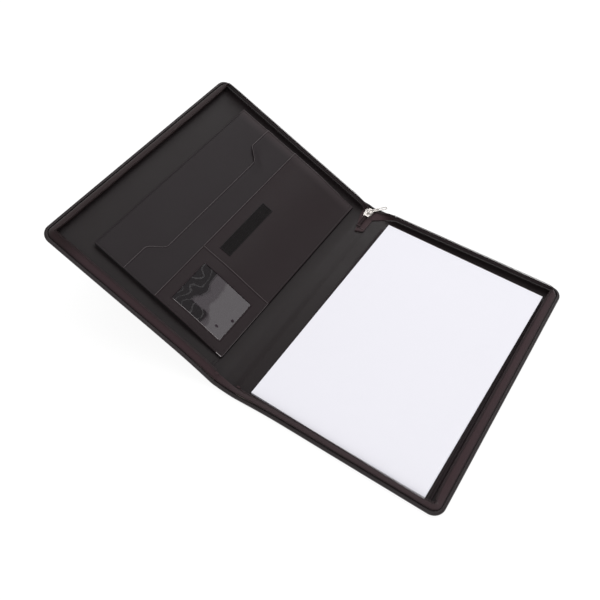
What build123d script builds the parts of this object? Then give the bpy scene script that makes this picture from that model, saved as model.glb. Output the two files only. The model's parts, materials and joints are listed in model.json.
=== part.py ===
"""Zippered padfolio for an A4 pad, lying open: writing side flat, organiser side tilted up.

Millimetres, +Z up. The origin is the centre of the writing-side cover's underside, X runs from the
organiser to the writing side, and Y runs along the spine towards the end with the zip slider.
"""

import os
from math import cos, radians, sin

from build123d import *

# Pad of paper that the folio is cut to hold
pad_width = 210.0
pad_length = 297.0
sheets_thickness = 3.7
card_thickness = 1.0
gum_thickness = 0.7
pad_turn = 0.9

# Covers: two boards between outer leather and lining, joined by a soft spine
side_margin = 19.5
head_margin = 23.7
foot_clear = 0.65
corner_radius = 13.0
skin = 1.2
board = 2.0
lining = 0.8
lip_width = 4.0
edge_round = 1.1
seam_gap = 0.2
cut_over = 1.0

# Spine creases, each a rolled bead that the cover beside it turns about
bead_radius = 1.4
bead_gap = 0.3
table_gap = 0.2
spine_rise = 0.1
closing_gap = 0.6
spine_tilt = 5.75
cover_tilt = 25.9

# Zip: a tape wall on three sides of each cover with a coil along its free edge
tape = 0.8
wall_height = 15.2
side_lean = 2.5
fore_lean = 7.0
coil_height = 3.0
coil_width = 2.0
stop_length = 4.0
stop_round = 0.4
tail_run = 24.0
tail_height = 10.6
tail_spread = 5.5
relief_run = 12.0

# Pad pocket on the writing side
welt_width = 2.0
pocket_leather = 1.0
card_play = 0.3
pocket_step = 3.6
panel_round = 0.3

# Organiser pockets on the other side
root_margin = 12.0
mouth_margin = 49.0
organiser_head = 22.0
organiser_foot = 31.0
document_depth = 5.6
document_leather = 0.9
gusset_leather = 0.6
gusset_fold = 8.0
front_leather = 0.7
scoop_setback = 42.0
scoop_depth = 17.0
scoop_land = 34.0
scoop_ramp = 22.0
front_setback = 88.0
card_pocket_length = 85.0
divider_width = 2.4
divider_height = 0.6
divider_round = 0.5
window_mouth_margin = 15.5
window_root_margin = 13.5
window_foot_margin = 11.0
window_divider_margin = 16.0
film = 0.3
hook_width = 16.0
hook_length = 88.0
hook_mouth_margin = 15.0
hook_divider_margin = 12.0
hook_thickness = 0.9

# Zip end on the spine: a closed stub of chain, its slider and the pull
stub_tape = 0.6
stub_width = 18.0
stub_from_head = 15.4
stub_shift = 0.9
slider_run = 16.0
slider_length = 15.0
mouth_flare = 1.8
tail_square = 2.2
slider_plate = 1.1
slider_flange = 0.7
flange_width = 0.9
slider_lift = 0.3
zip_play = 0.3
tooth_pitch = 2.0
tooth_width = 0.8
tooth_height = 2.0
tooth_grip = 1.0
tooth_overlap = 0.9
post_width = 2.2
post_nose = 1.1
post_shoulder = 1.3
post_length = 4.0
stub_stop_length = 3.0
patch_length = 11.0
patch_flat = 5.0
bridge_span = 6.4
bridge_width = 1.4
bridge_bar = 1.2
pull_length = 25.0
pull_width = 4.6
pull_thickness = 1.0
pull_yaw = 20.5
pull_loop_bar = 1.0
pull_loop_length = 5.6
pull_slot = 2.2
pull_neck = 1.2
bar_flat = 0.02

# Sizes that follow from those above
turn_sin = sin(radians(pad_turn))
swing_x = pad_width / 2 + pad_length / 2 * turn_sin
swing_y = pad_length / 2 + pad_width / 2 * turn_sin
foot_margin = lip_width + tape + foot_clear + welt_width + seam_gap + swing_y - pad_length / 2
cover_width = pad_width + 2 * side_margin
cover_height = pad_length + head_margin + foot_margin
half_height = cover_height / 2
floor_level = skin + board + lining
lip_level = floor_level + tape
rim_top = lip_level + skin
tape_top = wall_height - coil_height
crease_height = bead_radius + table_gap
plate_start = bead_radius + bead_gap
spine_run = 2 * (wall_height - crease_height) + closing_gap
band_radius = corner_radius - lip_width

# Frames: u runs from the crease to the fore edge, the normal points to the inside of the folio
spine_along = Vector(-cos(radians(spine_tilt)), 0, sin(radians(spine_tilt)))
spine_normal = Vector(sin(radians(spine_tilt)), 0, cos(radians(spine_tilt)))
cover_along = Vector(-cos(radians(cover_tilt)), 0, sin(radians(cover_tilt)))
cover_normal = Vector(sin(radians(cover_tilt)), 0, cos(radians(cover_tilt)))
right_crease = Vector(-cover_width / 2, 0, crease_height)
left_crease = right_crease + spine_along * spine_run
right_frame = Plane(origin=(-cover_width / 2, 0, 0), x_dir=(1, 0, 0), z_dir=(0, 0, 1))
spine_frame = Plane(origin=right_crease, x_dir=spine_along, z_dir=spine_normal)
left_frame = Plane(origin=left_crease - cover_normal * crease_height, x_dir=cover_along, z_dir=cover_normal)

# Which way the slider end lies along each frame's own y
head_of = {"right": 1, "left": -1}
frame_of = {"right": right_frame, "left": left_frame}

os.makedirs("parts", exist_ok=True)


def save(part, name):
    """Label a finished piece and write it to its own file."""
    part.label = name
    export_step(part, f"parts/{name}.step")


def cover_face(frame, level, inset, start):
    """A cover's outline at a level, drawn in from its three free edges, starting at u = start."""
    half = half_height - inset
    far = cover_width - inset
    with BuildSketch(frame.offset(level)) as face:
        with BuildLine():
            FilletPolyline(
                (start, -half), (far, -half), (far, half), (start, half), radius=corner_radius - inset
            )
            Line((start, half), (start, -half))
        make_face()
    return face.sketch


def band_face(frame, level, fore, side, width, radius, head, head_start, foot_start):
    """A U-shaped band at a level, its outer line set in from the fore edge and from both ends."""
    head_half = head * (half_height - side)
    far = cover_width - fore
    starts = {head: head_start, -head: foot_start}
    inner_half = head * (half_height - side - width)
    inner_far = far - width
    with BuildSketch(frame.offset(level)) as face:
        with BuildLine():
            FilletPolyline(
                (starts[-head], -head_half),
                (far, -head_half),
                (far, head_half),
                (starts[head], head_half),
                radius=radius,
            )
            Line((starts[head], head_half), (starts[head], inner_half))
            FilletPolyline(
                (starts[head], inner_half),
                (inner_far, inner_half),
                (inner_far, -inner_half),
                (starts[-head], -inner_half),
                radius=radius - width,
            )
            Line((starts[-head], -inner_half), (starts[-head], -head_half))
        make_face()
    return face.sketch


def block_face(plane, u_low, u_high, y_low, y_high):
    """A rectangle given by its limits along the plane's own axes."""
    with BuildSketch(plane) as face:
        with Locations(((u_low + u_high) / 2, (y_low + y_high) / 2)):
            Rectangle(u_high - u_low, abs(y_high - y_low))
    return face.sketch


def side_face(plane, points):
    """A polygon through points of a plane."""
    with BuildSketch(plane) as face:
        with BuildLine():
            Polyline(*points, close=True)
        make_face()
    return face.sketch


# Covers, each with its zip tape and coil
for side, frame in frame_of.items():
    head = head_of[side]
    upward = Axis(frame.origin, frame.z_dir)
    outward = Axis(frame.origin, frame.x_dir)

    # Outer leather: a sheet turned up round three edges and in over the zip tape
    with BuildPart() as outer_leather:
        extrude(cover_face(frame, 0, 0, plate_start), amount=rim_top)
        faces_by_level = outer_leather.faces().sort_by(upward)
        rim_edges = faces_by_level[0].edges().sort_by(outward)[1:]
        rim_edges += faces_by_level[-1].edges().sort_by(outward)[1:]
        fillet(rim_edges, radius=edge_round)
        extrude(
            cover_face(frame, skin, skin, plate_start - cut_over),
            amount=lip_level - skin,
            mode=Mode.SUBTRACT,
        )
        extrude(
            cover_face(frame, lip_level, lip_width, plate_start - cut_over), amount=skin, mode=Mode.SUBTRACT
        )
        relief = block_face(
            frame.offset(floor_level),
            plate_start - cut_over,
            relief_run,
            head * (half_height - lip_width - cut_over),
            head * (half_height + cut_over),
        )
        extrude(relief, amount=rim_top, mode=Mode.SUBTRACT)
    save(outer_leather.part, f"{side}_outer_leather")

    with BuildPart() as cover_board:
        extrude(cover_face(frame, skin, skin + seam_gap, plate_start), amount=board)
    save(cover_board.part, f"{side}_board")

    with BuildPart() as cover_lining:
        extrude(cover_face(frame, skin + board, skin + seam_gap, plate_start), amount=lining)
    save(cover_lining.part, f"{side}_lining")

    # Zip tape: a hem held under the leather lip, then a wall that leans in
    with BuildPart() as zip_tape:
        hem = skin + seam_gap
        hem_width = lip_width + tape - hem
        hem_radius = corner_radius - hem
        legs = (head, tail_run, plate_start)
        extrude(band_face(frame, floor_level, hem, hem, hem_width, hem_radius, *legs), amount=tape)
        foot = band_face(frame, lip_level, lip_width, lip_width, tape, band_radius, *legs)
        crest = band_face(
            frame, tape_top, lip_width + fore_lean, lip_width + side_lean, tape, band_radius, *legs
        )
        loft([foot, crest], ruled=True)
    save(zip_tape.part, f"{side}_zip_tape")

    coil_out = (coil_width - tape) / 2
    with BuildPart() as zip_coil:
        extrude(
            band_face(
                frame,
                tape_top,
                lip_width + fore_lean - coil_out,
                lip_width + side_lean - coil_out,
                coil_width,
                band_radius,
                head,
                tail_run,
                plate_start + stop_length,
            ),
            amount=coil_height,
        )
    save(zip_coil.part, f"{side}_zip_coil")

    # Top stop: the clip that ends the coil at the foot of the spine
    stop_outer = half_height - lip_width - side_lean + coil_out
    with BuildPart() as top_stop:
        stop_foot = block_face(
            frame.offset(tape_top),
            plate_start,
            plate_start + stop_length,
            -head * stop_outer,
            -head * (stop_outer - coil_width),
        )
        extrude(stop_foot, amount=coil_height)
        fillet(top_stop.edges().filter_by(Axis(frame.origin, frame.x_dir)), radius=stop_round)
    save(top_stop.part, f"{side}_top_stop")


# Spine: leather with a rolled bead along each crease and a hem at each end, and its lining
spine_section = Plane(origin=right_crease, x_dir=spine_along, z_dir=(0, 1, 0))
lining_half = half_height - lip_width
with BuildPart() as spine_leather:
    with BuildSketch(spine_section.offset(-half_height)):
        with Locations((spine_run / 2, spine_rise - skin / 2)):
            Rectangle(spine_run, skin)
        with Locations((0, 0), (spine_run, 0)):
            Circle(bead_radius)
    extrude(amount=cover_height)
    for end in (-1, 1):
        hem_face = block_face(
            spine_frame.offset(spine_rise),
            plate_start,
            spine_run - plate_start,
            min(end * lining_half, end * half_height),
            max(end * lining_half, end * half_height),
        )
        extrude(hem_face, amount=skin)
save(spine_leather.part, "spine_leather")

spine_floor = spine_rise + lining
with BuildPart() as spine_lining:
    extrude(
        block_face(
            spine_frame.offset(spine_rise), plate_start, spine_run - plate_start, -lining_half, lining_half
        ),
        amount=lining,
    )
save(spine_lining.part, "spine_lining")


# Pad: card back in the pocket, sheets on top of it, gummed along the head
pad_centre_y = (foot_margin - head_margin) / 2
pad_frame = Plane(origin=(0, pad_centre_y, 0), z_dir=(0, 0, 1)).rotated((0, 0, -pad_turn))
pocket_level = floor_level + card_thickness + card_play
sheets_level = pocket_level + pocket_leather
pad_top = sheets_level + sheets_thickness

with BuildPart() as pad_card:
    with BuildSketch(pad_frame.offset(floor_level)):
        Rectangle(pad_width, pad_length)
    extrude(amount=card_thickness)
save(pad_card.part, "pad_card")

with BuildPart() as pad_sheets:
    with BuildSketch(pad_frame.offset(sheets_level)):
        Rectangle(pad_width, pad_length)
    extrude(amount=sheets_thickness)
save(pad_sheets.part, "pad_sheets")

with BuildPart() as pad_gum:
    with BuildSketch(pad_frame.offset(floor_level)):
        with Locations((0, (pad_length + gum_thickness) / 2)):
            Rectangle(pad_width, gum_thickness)
    extrude(amount=pad_top - floor_level)
save(pad_gum.part, "pad_gum")

# Pad pocket: a leather panel sewn down along both sides and the foot, open at the head
pocket_side = swing_x + seam_gap + welt_width
pocket_foot = pad_centre_y - swing_y - seam_gap - welt_width
pocket_head = half_height - head_margin + pad_length / 2 - swing_y - pocket_step
with BuildPart() as pad_pocket:
    panel_plane = Plane.XY.offset(floor_level)
    extrude(
        block_face(panel_plane, -pocket_side, pocket_side, pocket_foot, pocket_head),
        amount=pocket_level + pocket_leather - floor_level,
    )
    fillet(pad_pocket.faces().sort_by(Axis.Z)[-1].edges(), radius=panel_round)
    extrude(
        block_face(
            panel_plane,
            -pocket_side + welt_width,
            pocket_side - welt_width,
            pocket_foot + welt_width,
            pocket_head + cut_over,
        ),
        amount=pocket_level - floor_level,
        mode=Mode.SUBTRACT,
    )
save(pad_pocket.part, "pad_pocket")


# Organiser: pockets stacked on the tilted cover; y runs towards the slider end, so it is turned over here
def flap_face(level, u_low, u_high, y_low, y_high):
    """A rectangle on the organiser, given along u and along the spine."""
    return block_face(left_frame.offset(level), u_low, u_high, -y_high, -y_low)


document_mouth = cover_width - mouth_margin
organiser_top = half_height - organiser_head
organiser_bottom = organiser_foot - half_height
document_level = floor_level + document_depth
scoop_level = document_level + document_leather
front_level = scoop_level + front_leather
front_top = front_level + front_leather
scoop_mouth = document_mouth - scoop_setback
front_mouth = document_mouth - front_setback
divider_y = organiser_bottom + card_pocket_length

# Document pocket: a stiff panel that stands off the lining and turns down to its sewn edge
with BuildPart() as document_pocket:
    extrude(
        flap_face(document_level, root_margin, document_mouth, organiser_bottom, organiser_top),
        amount=document_leather,
    )
    extrude(
        flap_face(
            floor_level, root_margin, root_margin + document_leather, organiser_bottom, organiser_top
        ),
        amount=document_depth,
    )
save(document_pocket.part, "document_pocket")

# Gussets: a strip at each end of the document pocket, folded inwards like a bellows
fold_level = floor_level + document_depth / 2
gusset_start = root_margin + document_leather + seam_gap
gusset_plane = Plane(
    origin=left_frame.from_local_coords((gusset_start, 0, 0)), x_dir=(0, -1, 0), z_dir=cover_along
)
for end, edge, inward in (("head", -organiser_top, 1), ("foot", -organiser_bottom, -1)):
    crown = edge + inward * gusset_fold
    root = edge + inward * gusset_leather
    fold_points = [
        (edge, floor_level),
        (edge, floor_level + gusset_leather),
        (crown, fold_level),
        (edge, document_level - gusset_leather),
        (edge, document_level),
        (root, document_level),
        (crown + inward * gusset_leather, fold_level),
        (root, floor_level),
    ]
    with BuildPart() as gusset:
        extrude(side_face(gusset_plane, fold_points), amount=document_mouth - gusset_start)
    save(gusset.part, f"document_gusset_{end}")

# Pocket with a scooped mouth: high at both ends, dipped in between
with BuildPart() as scooped_pocket:
    with BuildSketch(left_frame.offset(scoop_level)):
        dip = scoop_mouth - scoop_depth
        high_land = organiser_top - scoop_land
        low_land = organiser_bottom + scoop_land
        with BuildLine():
            Polyline(
                (scoop_mouth, -low_land),
                (scoop_mouth, -organiser_bottom),
                (root_margin, -organiser_bottom),
                (root_margin, -organiser_top),
                (scoop_mouth, -organiser_top),
                (scoop_mouth, -high_land),
            )
            Spline(
                (scoop_mouth, -high_land),
                (dip, -high_land + scoop_ramp),
                tangents=((0, 1), (0, 1)),
            )
            Line((dip, -high_land + scoop_ramp), (dip, -low_land - scoop_ramp))
            Spline(
                (dip, -low_land - scoop_ramp),
                (scoop_mouth, -low_land),
                tangents=((0, 1), (0, 1)),
            )
        make_face()
    extrude(amount=front_leather)
save(scooped_pocket.part, "scooped_pocket")

# Front row: a card pocket with a clear window, and an accessory pocket with a hook-and-loop strip
window_low = root_margin + window_root_margin
window_high = front_mouth - window_mouth_margin
window_bottom = organiser_bottom + window_foot_margin
window_top = divider_y - window_divider_margin
with BuildPart() as card_pocket:
    extrude(
        flap_face(front_level, root_margin, front_mouth, organiser_bottom, divider_y), amount=front_leather
    )
    extrude(
        flap_face(front_level, window_low, window_high, window_bottom, window_top),
        amount=front_leather,
        mode=Mode.SUBTRACT,
    )
save(card_pocket.part, "card_pocket")

with BuildPart() as card_window:
    extrude(
        flap_face(
            front_level,
            window_low + seam_gap,
            window_high - seam_gap,
            window_bottom + seam_gap,
            window_top - seam_gap,
        ),
        amount=film,
    )
save(card_window.part, "card_window")

with BuildPart() as accessory_pocket:
    extrude(
        flap_face(front_level, root_margin, front_mouth, divider_y + seam_gap, organiser_top),
        amount=front_leather,
    )
save(accessory_pocket.part, "accessory_pocket")

with BuildPart() as pocket_divider:
    extrude(
        flap_face(
            front_top, root_margin, front_mouth, divider_y - divider_width / 2, divider_y + divider_width / 2
        ),
        amount=divider_height,
    )
    ridge = pocket_divider.faces().sort_by(Axis(left_frame.origin, left_frame.z_dir))[-1]
    fillet(ridge.edges().filter_by(Axis(left_frame.origin, left_frame.x_dir)), radius=divider_round)
save(pocket_divider.part, "pocket_divider")

hook_high = front_mouth - hook_mouth_margin
hook_low = divider_y + hook_divider_margin
with BuildPart() as hook_strip:
    extrude(
        flap_face(front_top, hook_high - hook_width, hook_high, hook_low, hook_low + hook_length),
        amount=hook_thickness,
    )
save(hook_strip.part, "hook_strip")


# Zip end on the spine; along is measured on the spine's own y, towards the foot
middle = spine_run / 2 - stub_shift
lower_plate = spine_floor + slider_lift
lower_inside = lower_plate + slider_plate
tape_level = lower_inside + slider_flange + zip_play
upper_inside = tape_level + stub_tape + zip_play + slider_flange
upper_top = upper_inside + slider_plate
tooth_level = tape_level + (stub_tape - tooth_height) / 2
slider_at = stub_from_head - half_height
tape_slit = post_width / 2 + zip_play
tooth_reach = tape_slit + tooth_grip
channel = tooth_reach + zip_play
slider_tail = 2 * (channel + flange_width)
slider_mouth = slider_tail + 2 * mouth_flare
mouth_end = slider_at - slider_length / 2
tail_end = slider_at + slider_length / 2
stop_at = tail_end + slider_run + zip_play
tape_end = stop_at + stub_stop_length + patch_flat


def slider_outline(plane, shrink):
    """The slider plate: round at its mouth and drawn in to a square tail."""
    with BuildSketch(plane) as face:
        with Locations((middle, mouth_end + slider_mouth / 2)):
            Circle(slider_mouth / 2 - shrink)
        with Locations((middle, tail_end - tail_square / 2)):
            Rectangle(slider_tail - 2 * shrink, tail_square)
        make_hull()
    return face.sketch


with BuildPart() as stub_tapes:
    for hand in (-1, 1):
        strip = block_face(
            spine_frame.offset(tape_level),
            min(middle + hand * tape_slit, middle + hand * stub_width / 2),
            max(middle + hand * tape_slit, middle + hand * stub_width / 2),
            mouth_end,
            tape_end,
        )
        extrude(strip, amount=stub_tape)
save(stub_tapes.part, "stub_tape")

# Interlocked teeth, each gripping its tape's edge and reaching past the middle
tooth_count = int((stop_at - slider_at) / tooth_pitch)
with BuildPart() as stub_chain:
    for hand in (-1, 1):
        grip = [
            (middle - hand * tooth_overlap, tooth_level),
            (middle + hand * tooth_reach, tooth_level),
            (middle + hand * tooth_reach, tape_level),
            (middle + hand * tape_slit, tape_level),
            (middle + hand * tape_slit, tape_level + stub_tape),
            (middle + hand * tooth_reach, tape_level + stub_tape),
            (middle + hand * tooth_reach, tooth_level + tooth_height),
            (middle - hand * tooth_overlap, tooth_level + tooth_height),
        ]
        for count in range(tooth_count):
            along = stop_at - (count + 1 / 2 + hand / 4) * tooth_pitch
            extrude(side_face(spine_section.offset(-along - tooth_width / 2), grip), amount=tooth_width)
save(stub_chain.part, "stub_chain")

with BuildPart() as stub_stop:
    for level, thickness in ((tooth_level, tape_level - tooth_level),
                             (tape_level + stub_tape, tape_level - tooth_level)):
        jaw = block_face(
            spine_frame.offset(level),
            middle - tooth_reach,
            middle + tooth_reach,
            stop_at + seam_gap,
            stop_at + stub_stop_length,
        )
        extrude(jaw, amount=thickness)
    rivet = block_face(
        spine_frame.offset(tape_level),
        middle - tape_slit,
        middle + tape_slit,
        stop_at + seam_gap,
        stop_at + stub_stop_length,
    )
    extrude(rivet, amount=stub_tape)
save(stub_stop.part, "stub_stop")

# Patch: the stub's end folded under itself and sewn to the spine
patch_top = tape_end - patch_flat
patch_points = [
    (patch_top, spine_floor),
    (patch_top, tape_level),
    (tape_end, tape_level),
    (patch_top + patch_length, spine_floor + stub_tape),
    (patch_top + patch_length, spine_floor),
]
patch_plane = Plane(
    origin=spine_frame.from_local_coords((middle - stub_width / 2, 0, 0)), x_dir=(0, -1, 0), z_dir=spine_along
)
with BuildPart() as stub_patch:
    extrude(side_face(patch_plane, patch_points), amount=stub_width)
save(stub_patch.part, "stub_patch")

# Slider: two plates joined by a wedge at the mouth, flanges that guide the chain, and a bridge
with BuildPart() as slider_body:
    extrude(slider_outline(spine_frame.offset(lower_plate), 0), amount=slider_plate)
    extrude(slider_outline(spine_frame.offset(upper_inside), 0), amount=slider_plate)
    for level in (lower_inside, upper_inside - slider_flange):
        extrude(slider_outline(spine_frame.offset(level), 0), amount=slider_flange)
        extrude(
            slider_outline(spine_frame.offset(level), flange_width), amount=slider_flange, mode=Mode.SUBTRACT
        )
        for low, high in ((mouth_end - zip_play, slider_at), (slider_at, tail_end + zip_play)):
            throat = slider_mouth / 2 - flange_width if low < mouth_end else channel
            extrude(
                block_face(spine_frame.offset(level), middle - throat, middle + throat, low, high),
                amount=slider_flange,
                mode=Mode.SUBTRACT,
            )
    with BuildSketch(spine_frame.offset(lower_inside)):
        with BuildLine():
            wedge_tip = mouth_end + zip_play
            Polyline(
                (middle, wedge_tip + post_length),
                (middle - post_width / 2, wedge_tip + post_shoulder),
                (middle - post_nose / 2, wedge_tip),
                (middle + post_nose / 2, wedge_tip),
                (middle + post_width / 2, wedge_tip + post_shoulder),
                close=True,
            )
        make_face()
    extrude(amount=upper_inside - lower_inside)
    bar_clear = pull_thickness / 2 + zip_play
    pivot_level = upper_top + bar_clear
    arch_inside = pivot_level + bar_clear
    bridge_plane = Plane(
        origin=spine_frame.from_local_coords((middle - bridge_width / 2, 0, 0)),
        x_dir=(0, -1, 0),
        z_dir=spine_along,
    )
    outer_half = bridge_span / 2 + bridge_bar / 2
    inner_half = bridge_span / 2 - bridge_bar / 2
    with BuildSketch(bridge_plane):
        with BuildLine():
            FilletPolyline(
                (slider_at - outer_half, upper_top),
                (slider_at - outer_half, arch_inside + bridge_bar),
                (slider_at + outer_half, arch_inside + bridge_bar),
                (slider_at + outer_half, upper_top),
                radius=bridge_bar,
            )
            Line((slider_at + outer_half, upper_top), (slider_at + inner_half, upper_top))
            Polyline(
                (slider_at + inner_half, upper_top),
                (slider_at + inner_half, arch_inside),
                (slider_at - inner_half, arch_inside),
                (slider_at - inner_half, upper_top),
            )
            Line((slider_at - inner_half, upper_top), (slider_at - outer_half, upper_top))
        make_face()
    extrude(amount=bridge_width)
save(slider_body.part, "slider_body")

# Pull: a loop hooked under the bridge by a round bar, then a flat tab with a long slot
pull_frame = Plane(
    origin=spine_frame.from_local_coords((middle, slider_at, pivot_level)),
    x_dir=spine_frame.y_dir * -cos(radians(pull_yaw)) - spine_along * sin(radians(pull_yaw)),
    z_dir=spine_normal,
)
bar_radius = pull_thickness / 2
yaw_sin = sin(radians(pull_yaw))
yaw_cos = cos(radians(pull_yaw))
loop_inside = 2 * (outer_half * yaw_sin + bridge_width / 2 * yaw_cos + zip_play)
loop_outside = loop_inside + 2 * pull_loop_bar
with BuildPart() as pull_tab:
    with BuildSketch(pull_frame.offset(-bar_radius)):
        with Locations((pull_loop_length / 2, 0)):
            RectangleRounded(pull_loop_length + 2 * bar_radius, loop_outside, bar_radius)
        with Locations((pull_length - pull_width / 2, 0)):
            Circle(pull_width / 2)
        with Locations(((pull_loop_length + pull_length - pull_width / 2) / 2, 0)):
            Rectangle(pull_length - pull_width / 2 - pull_loop_length, pull_width)
        with Locations((pull_loop_length / 2, 0)):
            Rectangle(pull_loop_length - 2 * bar_radius, loop_inside, mode=Mode.SUBTRACT)
        slot_start = pull_loop_length + pull_neck
        slot_end = pull_length - pull_width / 2 + pull_slot / 2
        with Locations(((slot_start + slot_end) / 2, 0)):
            SlotOverall(slot_end - slot_start, pull_slot, mode=Mode.SUBTRACT)
    extrude(amount=2 * bar_radius)
    bar_edges = pull_tab.edges().filter_by(Axis(pull_frame.origin, pull_frame.y_dir))
    bar_edges = bar_edges.sort_by(Axis(pull_frame.origin, pull_frame.x_dir))[:4]
    fillet(bar_edges, radius=bar_radius - bar_flat / 2)
save(pull_tab.part, "pull_tab")


# Loose stretches of tape at the ends of the spine, drawn as they hang in this position
def on_right(u, level):
    """A point beside the right cover, seen along the spine."""
    point = right_frame.from_local_coords((u, 0, level))
    return (point.X, point.Z)


def on_spine(p, level):
    """A point on the spine, seen along it."""
    point = spine_frame.from_local_coords((p, 0, level))
    return (point.X, point.Z)


def on_left(u, level):
    """A point beside the left cover, seen along the spine."""
    point = left_frame.from_local_coords((u, 0, level))
    return (point.X, point.Z)


near_slider = slider_mouth / 2
bench = spine_floor + seam_gap
tail_right = [
    on_right(tail_run - seam_gap, lip_level),
    on_right(tail_run - seam_gap, tape_top),
    on_right(plate_start, tail_height),
    on_spine(tail_spread, tape_level),
    on_spine(middle - near_slider, tape_level),
    on_spine(middle - near_slider, bench),
    on_spine(plate_start, bench),
    on_right(plate_start, lip_level),
]
tail_left = [
    on_left(tail_run - seam_gap, lip_level),
    on_left(tail_run - seam_gap, tape_top),
    on_left(plate_start, tail_height),
    on_spine(spine_run - tail_spread, tape_level),
    on_spine(middle + near_slider, tape_level),
    on_spine(middle + near_slider, bench),
    on_spine(spine_run - plate_start, bench),
    on_left(plate_start, lip_level),
]
foot_strip = [
    on_right(plate_start - seam_gap, lip_level),
    on_right(plate_start - seam_gap, tape_top),
    on_left(plate_start - seam_gap, tape_top),
    on_left(plate_start - seam_gap, lip_level),
    on_spine(spine_run - plate_start, bench),
    on_spine(plate_start, bench),
]
wall_line = half_height - lip_width
for name, points, far_side in (
    ("zip_tail_right", tail_right, wall_line),
    ("zip_tail_left", tail_left, wall_line),
    ("zip_foot_tape", foot_strip, tape - wall_line),
):
    with BuildPart() as loose_tape:
        extrude(side_face(Plane.XZ.offset(-far_side), points), amount=tape)
    save(loose_tape.part, name)
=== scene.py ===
# %% [markdown]
# # A zip-round padfolio, open on a table
#
# The folio is one long sheet of leather that folds twice, at the two creases of its spine. So every soft
# piece here is drawn on that flat sheet first, in `s` (across), `y` (along the spine) and `w` (height), and
# one function, `place`, then folds the sheet into the position it has on the table.

import json
import math

import bpy
import numpy as np
from mathutils import Matrix, Vector


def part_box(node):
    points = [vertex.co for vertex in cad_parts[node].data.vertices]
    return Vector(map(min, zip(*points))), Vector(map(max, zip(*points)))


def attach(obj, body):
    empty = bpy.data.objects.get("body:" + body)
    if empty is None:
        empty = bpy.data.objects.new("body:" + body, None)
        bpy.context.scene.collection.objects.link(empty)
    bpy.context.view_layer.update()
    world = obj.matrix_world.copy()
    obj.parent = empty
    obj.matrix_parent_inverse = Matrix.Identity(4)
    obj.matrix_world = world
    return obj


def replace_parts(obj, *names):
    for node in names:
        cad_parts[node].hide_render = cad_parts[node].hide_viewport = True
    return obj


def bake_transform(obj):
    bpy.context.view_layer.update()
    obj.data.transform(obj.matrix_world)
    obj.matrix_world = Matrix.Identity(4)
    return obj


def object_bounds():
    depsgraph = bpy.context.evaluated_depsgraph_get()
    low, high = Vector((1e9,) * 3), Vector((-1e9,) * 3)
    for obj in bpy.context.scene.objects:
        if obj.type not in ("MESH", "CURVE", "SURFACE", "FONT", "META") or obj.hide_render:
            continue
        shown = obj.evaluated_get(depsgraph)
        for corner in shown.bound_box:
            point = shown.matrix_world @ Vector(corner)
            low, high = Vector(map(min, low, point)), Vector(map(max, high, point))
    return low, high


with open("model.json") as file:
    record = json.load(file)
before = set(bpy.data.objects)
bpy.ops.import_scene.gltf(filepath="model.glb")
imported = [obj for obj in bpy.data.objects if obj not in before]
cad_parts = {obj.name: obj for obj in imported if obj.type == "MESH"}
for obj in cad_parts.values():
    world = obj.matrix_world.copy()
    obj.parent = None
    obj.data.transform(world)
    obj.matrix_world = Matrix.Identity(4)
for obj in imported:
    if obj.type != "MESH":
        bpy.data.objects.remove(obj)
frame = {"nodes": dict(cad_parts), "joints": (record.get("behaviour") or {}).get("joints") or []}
cad_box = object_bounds()
joints = {joint["name"]: joint for joint in frame["joints"]}

# %% [markdown]
# ## Sizes
#
# The big sizes are read from the frame, so the dressing follows it. The small ones, such as how far
# the leather turns in over the zip tape, are written here once, in millimetres.

# %% Sizes
MM = 0.001
CREASE_A = np.array(joints["right_crease"]["pos_m"])
CREASE_B = np.array(joints["left_crease"]["pos_m"])
SPINE_TILT = -math.radians(joints["right_crease"]["range_deg"][0])
COVER_TILT = SPINE_TILT - math.radians(joints["left_crease"]["range_deg"][0])
RUN = float(np.linalg.norm(CREASE_B - CREASE_A))
RISE = float(CREASE_A[2])
cover_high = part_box("right_outer_leather")[1]
WIDTH = cover_high.x - CREASE_A[0]
HALF = cover_high.y
CORNER = 13 * MM
EASE = 4 * MM
BEND = 12 * MM
BLEND = 8 * MM
FLOOR = 4.0 * MM
SPINE_FLOOR = 0.9 * MM
TAIL = 24 * MM
COIL_START = 6 * MM
print(f"cover {WIDTH / MM:.0f} x {2 * HALF / MM:.0f} mm, spine {RUN / MM:.1f} mm")

# %% [markdown]
# ## Folding the sheet
#
# `tilt_at` says how steep the sheet is at each `s`, and eases it over each crease. Summing small steps along
# that slope gives the sheet's middle line, and a point then stands off that line by its height `w`.

# %% The fold


def ease(t):
    """A smooth step from 0 to 1."""
    t = np.clip(t, 0, 1)
    return t * t * (3 - 2 * t)


def tilt_at(s):
    """How far the sheet is turned up at s: flat on the right, then the spine, then the left cover."""
    over_a = ease((EASE - s) / (2 * EASE))
    over_b = ease((EASE - RUN - s) / (2 * EASE))
    return SPINE_TILT * over_a + (COVER_TILT - SPINE_TILT) * over_b


STEP, SPARE = 0.25 * MM, 20 * MM
line_s = np.arange(WIDTH + SPARE, -RUN - WIDTH - SPARE, -STEP)
line_tilt = tilt_at(line_s - STEP / 2)
line_x = CREASE_A[0] + line_s[0] - np.concatenate([[0], np.cumsum(np.cos(line_tilt) * STEP)[:-1]])
line_z = CREASE_A[2] + np.concatenate([[0], np.cumsum(np.sin(line_tilt) * STEP)[:-1]])


def place(s, y, w):
    """Fold points of the flat sheet into the row frame."""
    s, y, w = np.broadcast_arrays(*(np.asarray(value, float) for value in (s, y, w)))
    x = np.interp(-s, -line_s, line_x)
    z = np.interp(-s, -line_s, line_z)
    tilt = tilt_at(s)
    return np.stack([x + w * np.sin(tilt), y, z + w * np.cos(tilt)], axis=-1)


def on_left(u, y, v):
    """A point of the left cover: u from its crease, v above its outer face."""
    return -RUN - np.asarray(u, float), y, np.asarray(v, float) - RISE


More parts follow.
